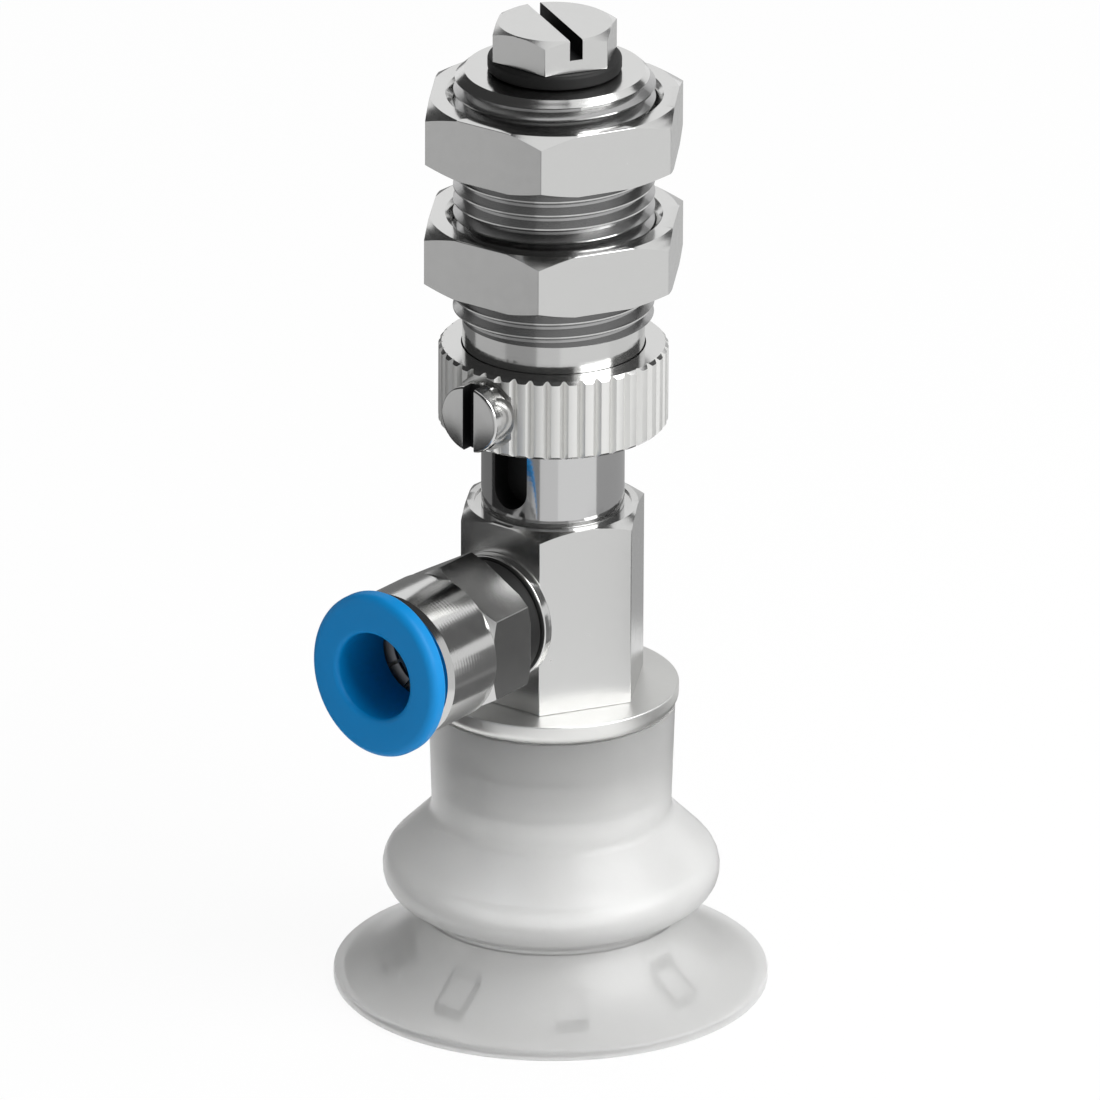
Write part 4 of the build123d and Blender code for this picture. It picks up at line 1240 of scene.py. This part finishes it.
class GRIPPER_OT_stage(bpy.types.Operator):
    """Add the pale floor, the softboxes, the white surroundings and the camera"""

    bl_idname = "gripper.add_stage"
    bl_label = "Stage"

    def execute(self, context):
        scene = context.scene
        scene.view_settings.view_transform = "Standard"

        floor = add_primitive("pale_floor", bpy.ops.mesh.primitive_plane_add, size=6.0)
        material, tree, place = start_material("white_paper")
        paper = add_node(tree, "ShaderNodeBsdfDiffuse", inputs={"Color": linear("#F4F4F4")})
        glow = add_node(tree, "ShaderNodeEmission", inputs={"Strength": 1.0})
        share = add_node(
            tree, "ShaderNodeMath", {"operation": "MULTIPLY"}, {1: FLOOR_WHITENESS}, {0: seen_rays(tree)}
        ).outputs["Value"]
        add_node(tree, "ShaderNodeOutputMaterial", links={"Surface": mix_shaders(tree, share, paper, glow)})
        floor.data.materials.append(material)

        world = bpy.data.worlds.new("white_surroundings")
        scene.world = world
        world.use_nodes = True
        tree = world.node_tree
        tree.nodes.clear()
        lit, white = [
            add_node(tree, "ShaderNodeBackground", inputs={"Color": linear("#FFFFFF"), "Strength": strength})
            for strength in (WORLD_STRENGTH, 1.0)
        ]
        surroundings = mix_shaders(tree, seen_rays(tree), lit, white)
        add_node(tree, "ShaderNodeOutputWorld", links={"Surface": surroundings})

        add_lamp("key_softbox", 62, 36, 0.5, 0.46, 0.52, 3.2, True)
        add_lamp("back_softbox", 165, 55, 0.6, 0.4, 0.3, 0.5, False)
        # Shades round the gripper: low cards colour its upright faces, high ones its chamfers and flanks
        for name, shade, radius, low, high, start, end in STUDIO_CARDS:
            stand_cards(name, shade, radius * MM, low * MM, high * MM, start, end)
        near, far = FLOOR_CARD_EDGES
        for start in FLOOR_CARD_STARTS:
            end = start + FLOOR_CARD_TURN
            spots = ((start, near), (start, far), (end, far), (end, near))
            corners = [around(turn, 0, reach, FLOOR_CARD_HEIGHT) for turn, reach in spots]
            add_card(f"floor_card_{start}", FLOOR_CARD_SHADE, corners)

        bpy.ops.object.camera_add()
        camera = context.object
        camera.name = "photograph_view"
        eye = around(0, math.degrees(VIEW_ELEVATION), VIEW_DISTANCE)
        target = Vector((0, 0, VIEW_HEIGHT))
        turn = (target - eye).to_track_quat("-Z", "Y").to_matrix()
        aside = turn @ Vector((-VIEW_OFFSET, 0, 0))
        rolled = turn @ Matrix.Rotation(VIEW_ROLL, 3, "Z")
        camera.matrix_world = Matrix.Translation(eye + aside) @ rolled.to_4x4()
        camera.data.sensor_width = VIEW_SENSOR
        camera.data.lens = VIEW_LENS
        camera.data.clip_start = 0.05
        camera.data.clip_end = 20.0
        scene.camera = camera
        return {"FINISHED"}


OPERATORS = (
    GRIPPER_OT_stage, GRIPPER_OT_cup, GRIPPER_OT_plate, GRIPPER_OT_body, GRIPPER_OT_rod, GRIPPER_OT_collar,
    GRIPPER_OT_guide_screw, GRIPPER_OT_sleeve, GRIPPER_OT_spring, GRIPPER_OT_nuts, GRIPPER_OT_end_stop,
    GRIPPER_OT_fitting, GRIPPER_OT_release_ring, GRIPPER_OT_inner_pieces,
)


class GRIPPER_PT_panel(bpy.types.Panel):
    """Lists the steps that build the gripper"""

    bl_idname = "GRIPPER_PT_panel"
    bl_label = "Vacuum Gripper"
    bl_space_type = "VIEW_3D"
    bl_region_type = "UI"
    bl_category = "Gripper"

    def draw(self, context):
        for operator in OPERATORS:
            self.layout.operator(operator.bl_idname)


GROUPS = {
    "gripper_cup": CupSizes, "gripper_body": BodySizes, "gripper_sleeve": SleeveSizes,
    "gripper_finishes": Finishes,
}


def register():
    """Register the sizes, the operators and the panel."""
    for name, group in GROUPS.items():
        bpy.utils.register_class(group)
        setattr(bpy.types.Scene, name, bpy.props.PointerProperty(type=group))
    for operator in OPERATORS:
        bpy.utils.register_class(operator)
    bpy.utils.register_class(GRIPPER_PT_panel)


def unregister():
    """Undo what register did."""
    bpy.utils.unregister_class(GRIPPER_PT_panel)
    for operator in reversed(OPERATORS):
        bpy.utils.unregister_class(operator)
    for name, group in reversed(GROUPS.items()):
        delattr(bpy.types.Scene, name)
        bpy.utils.unregister_class(group)


def main():
    """Build the gripper and its stage."""
    register()
    for operator in OPERATORS:
        group, step = operator.bl_idname.split(".")
        getattr(getattr(bpy.ops, group), step)()


if __name__ == "__main__":
    main()
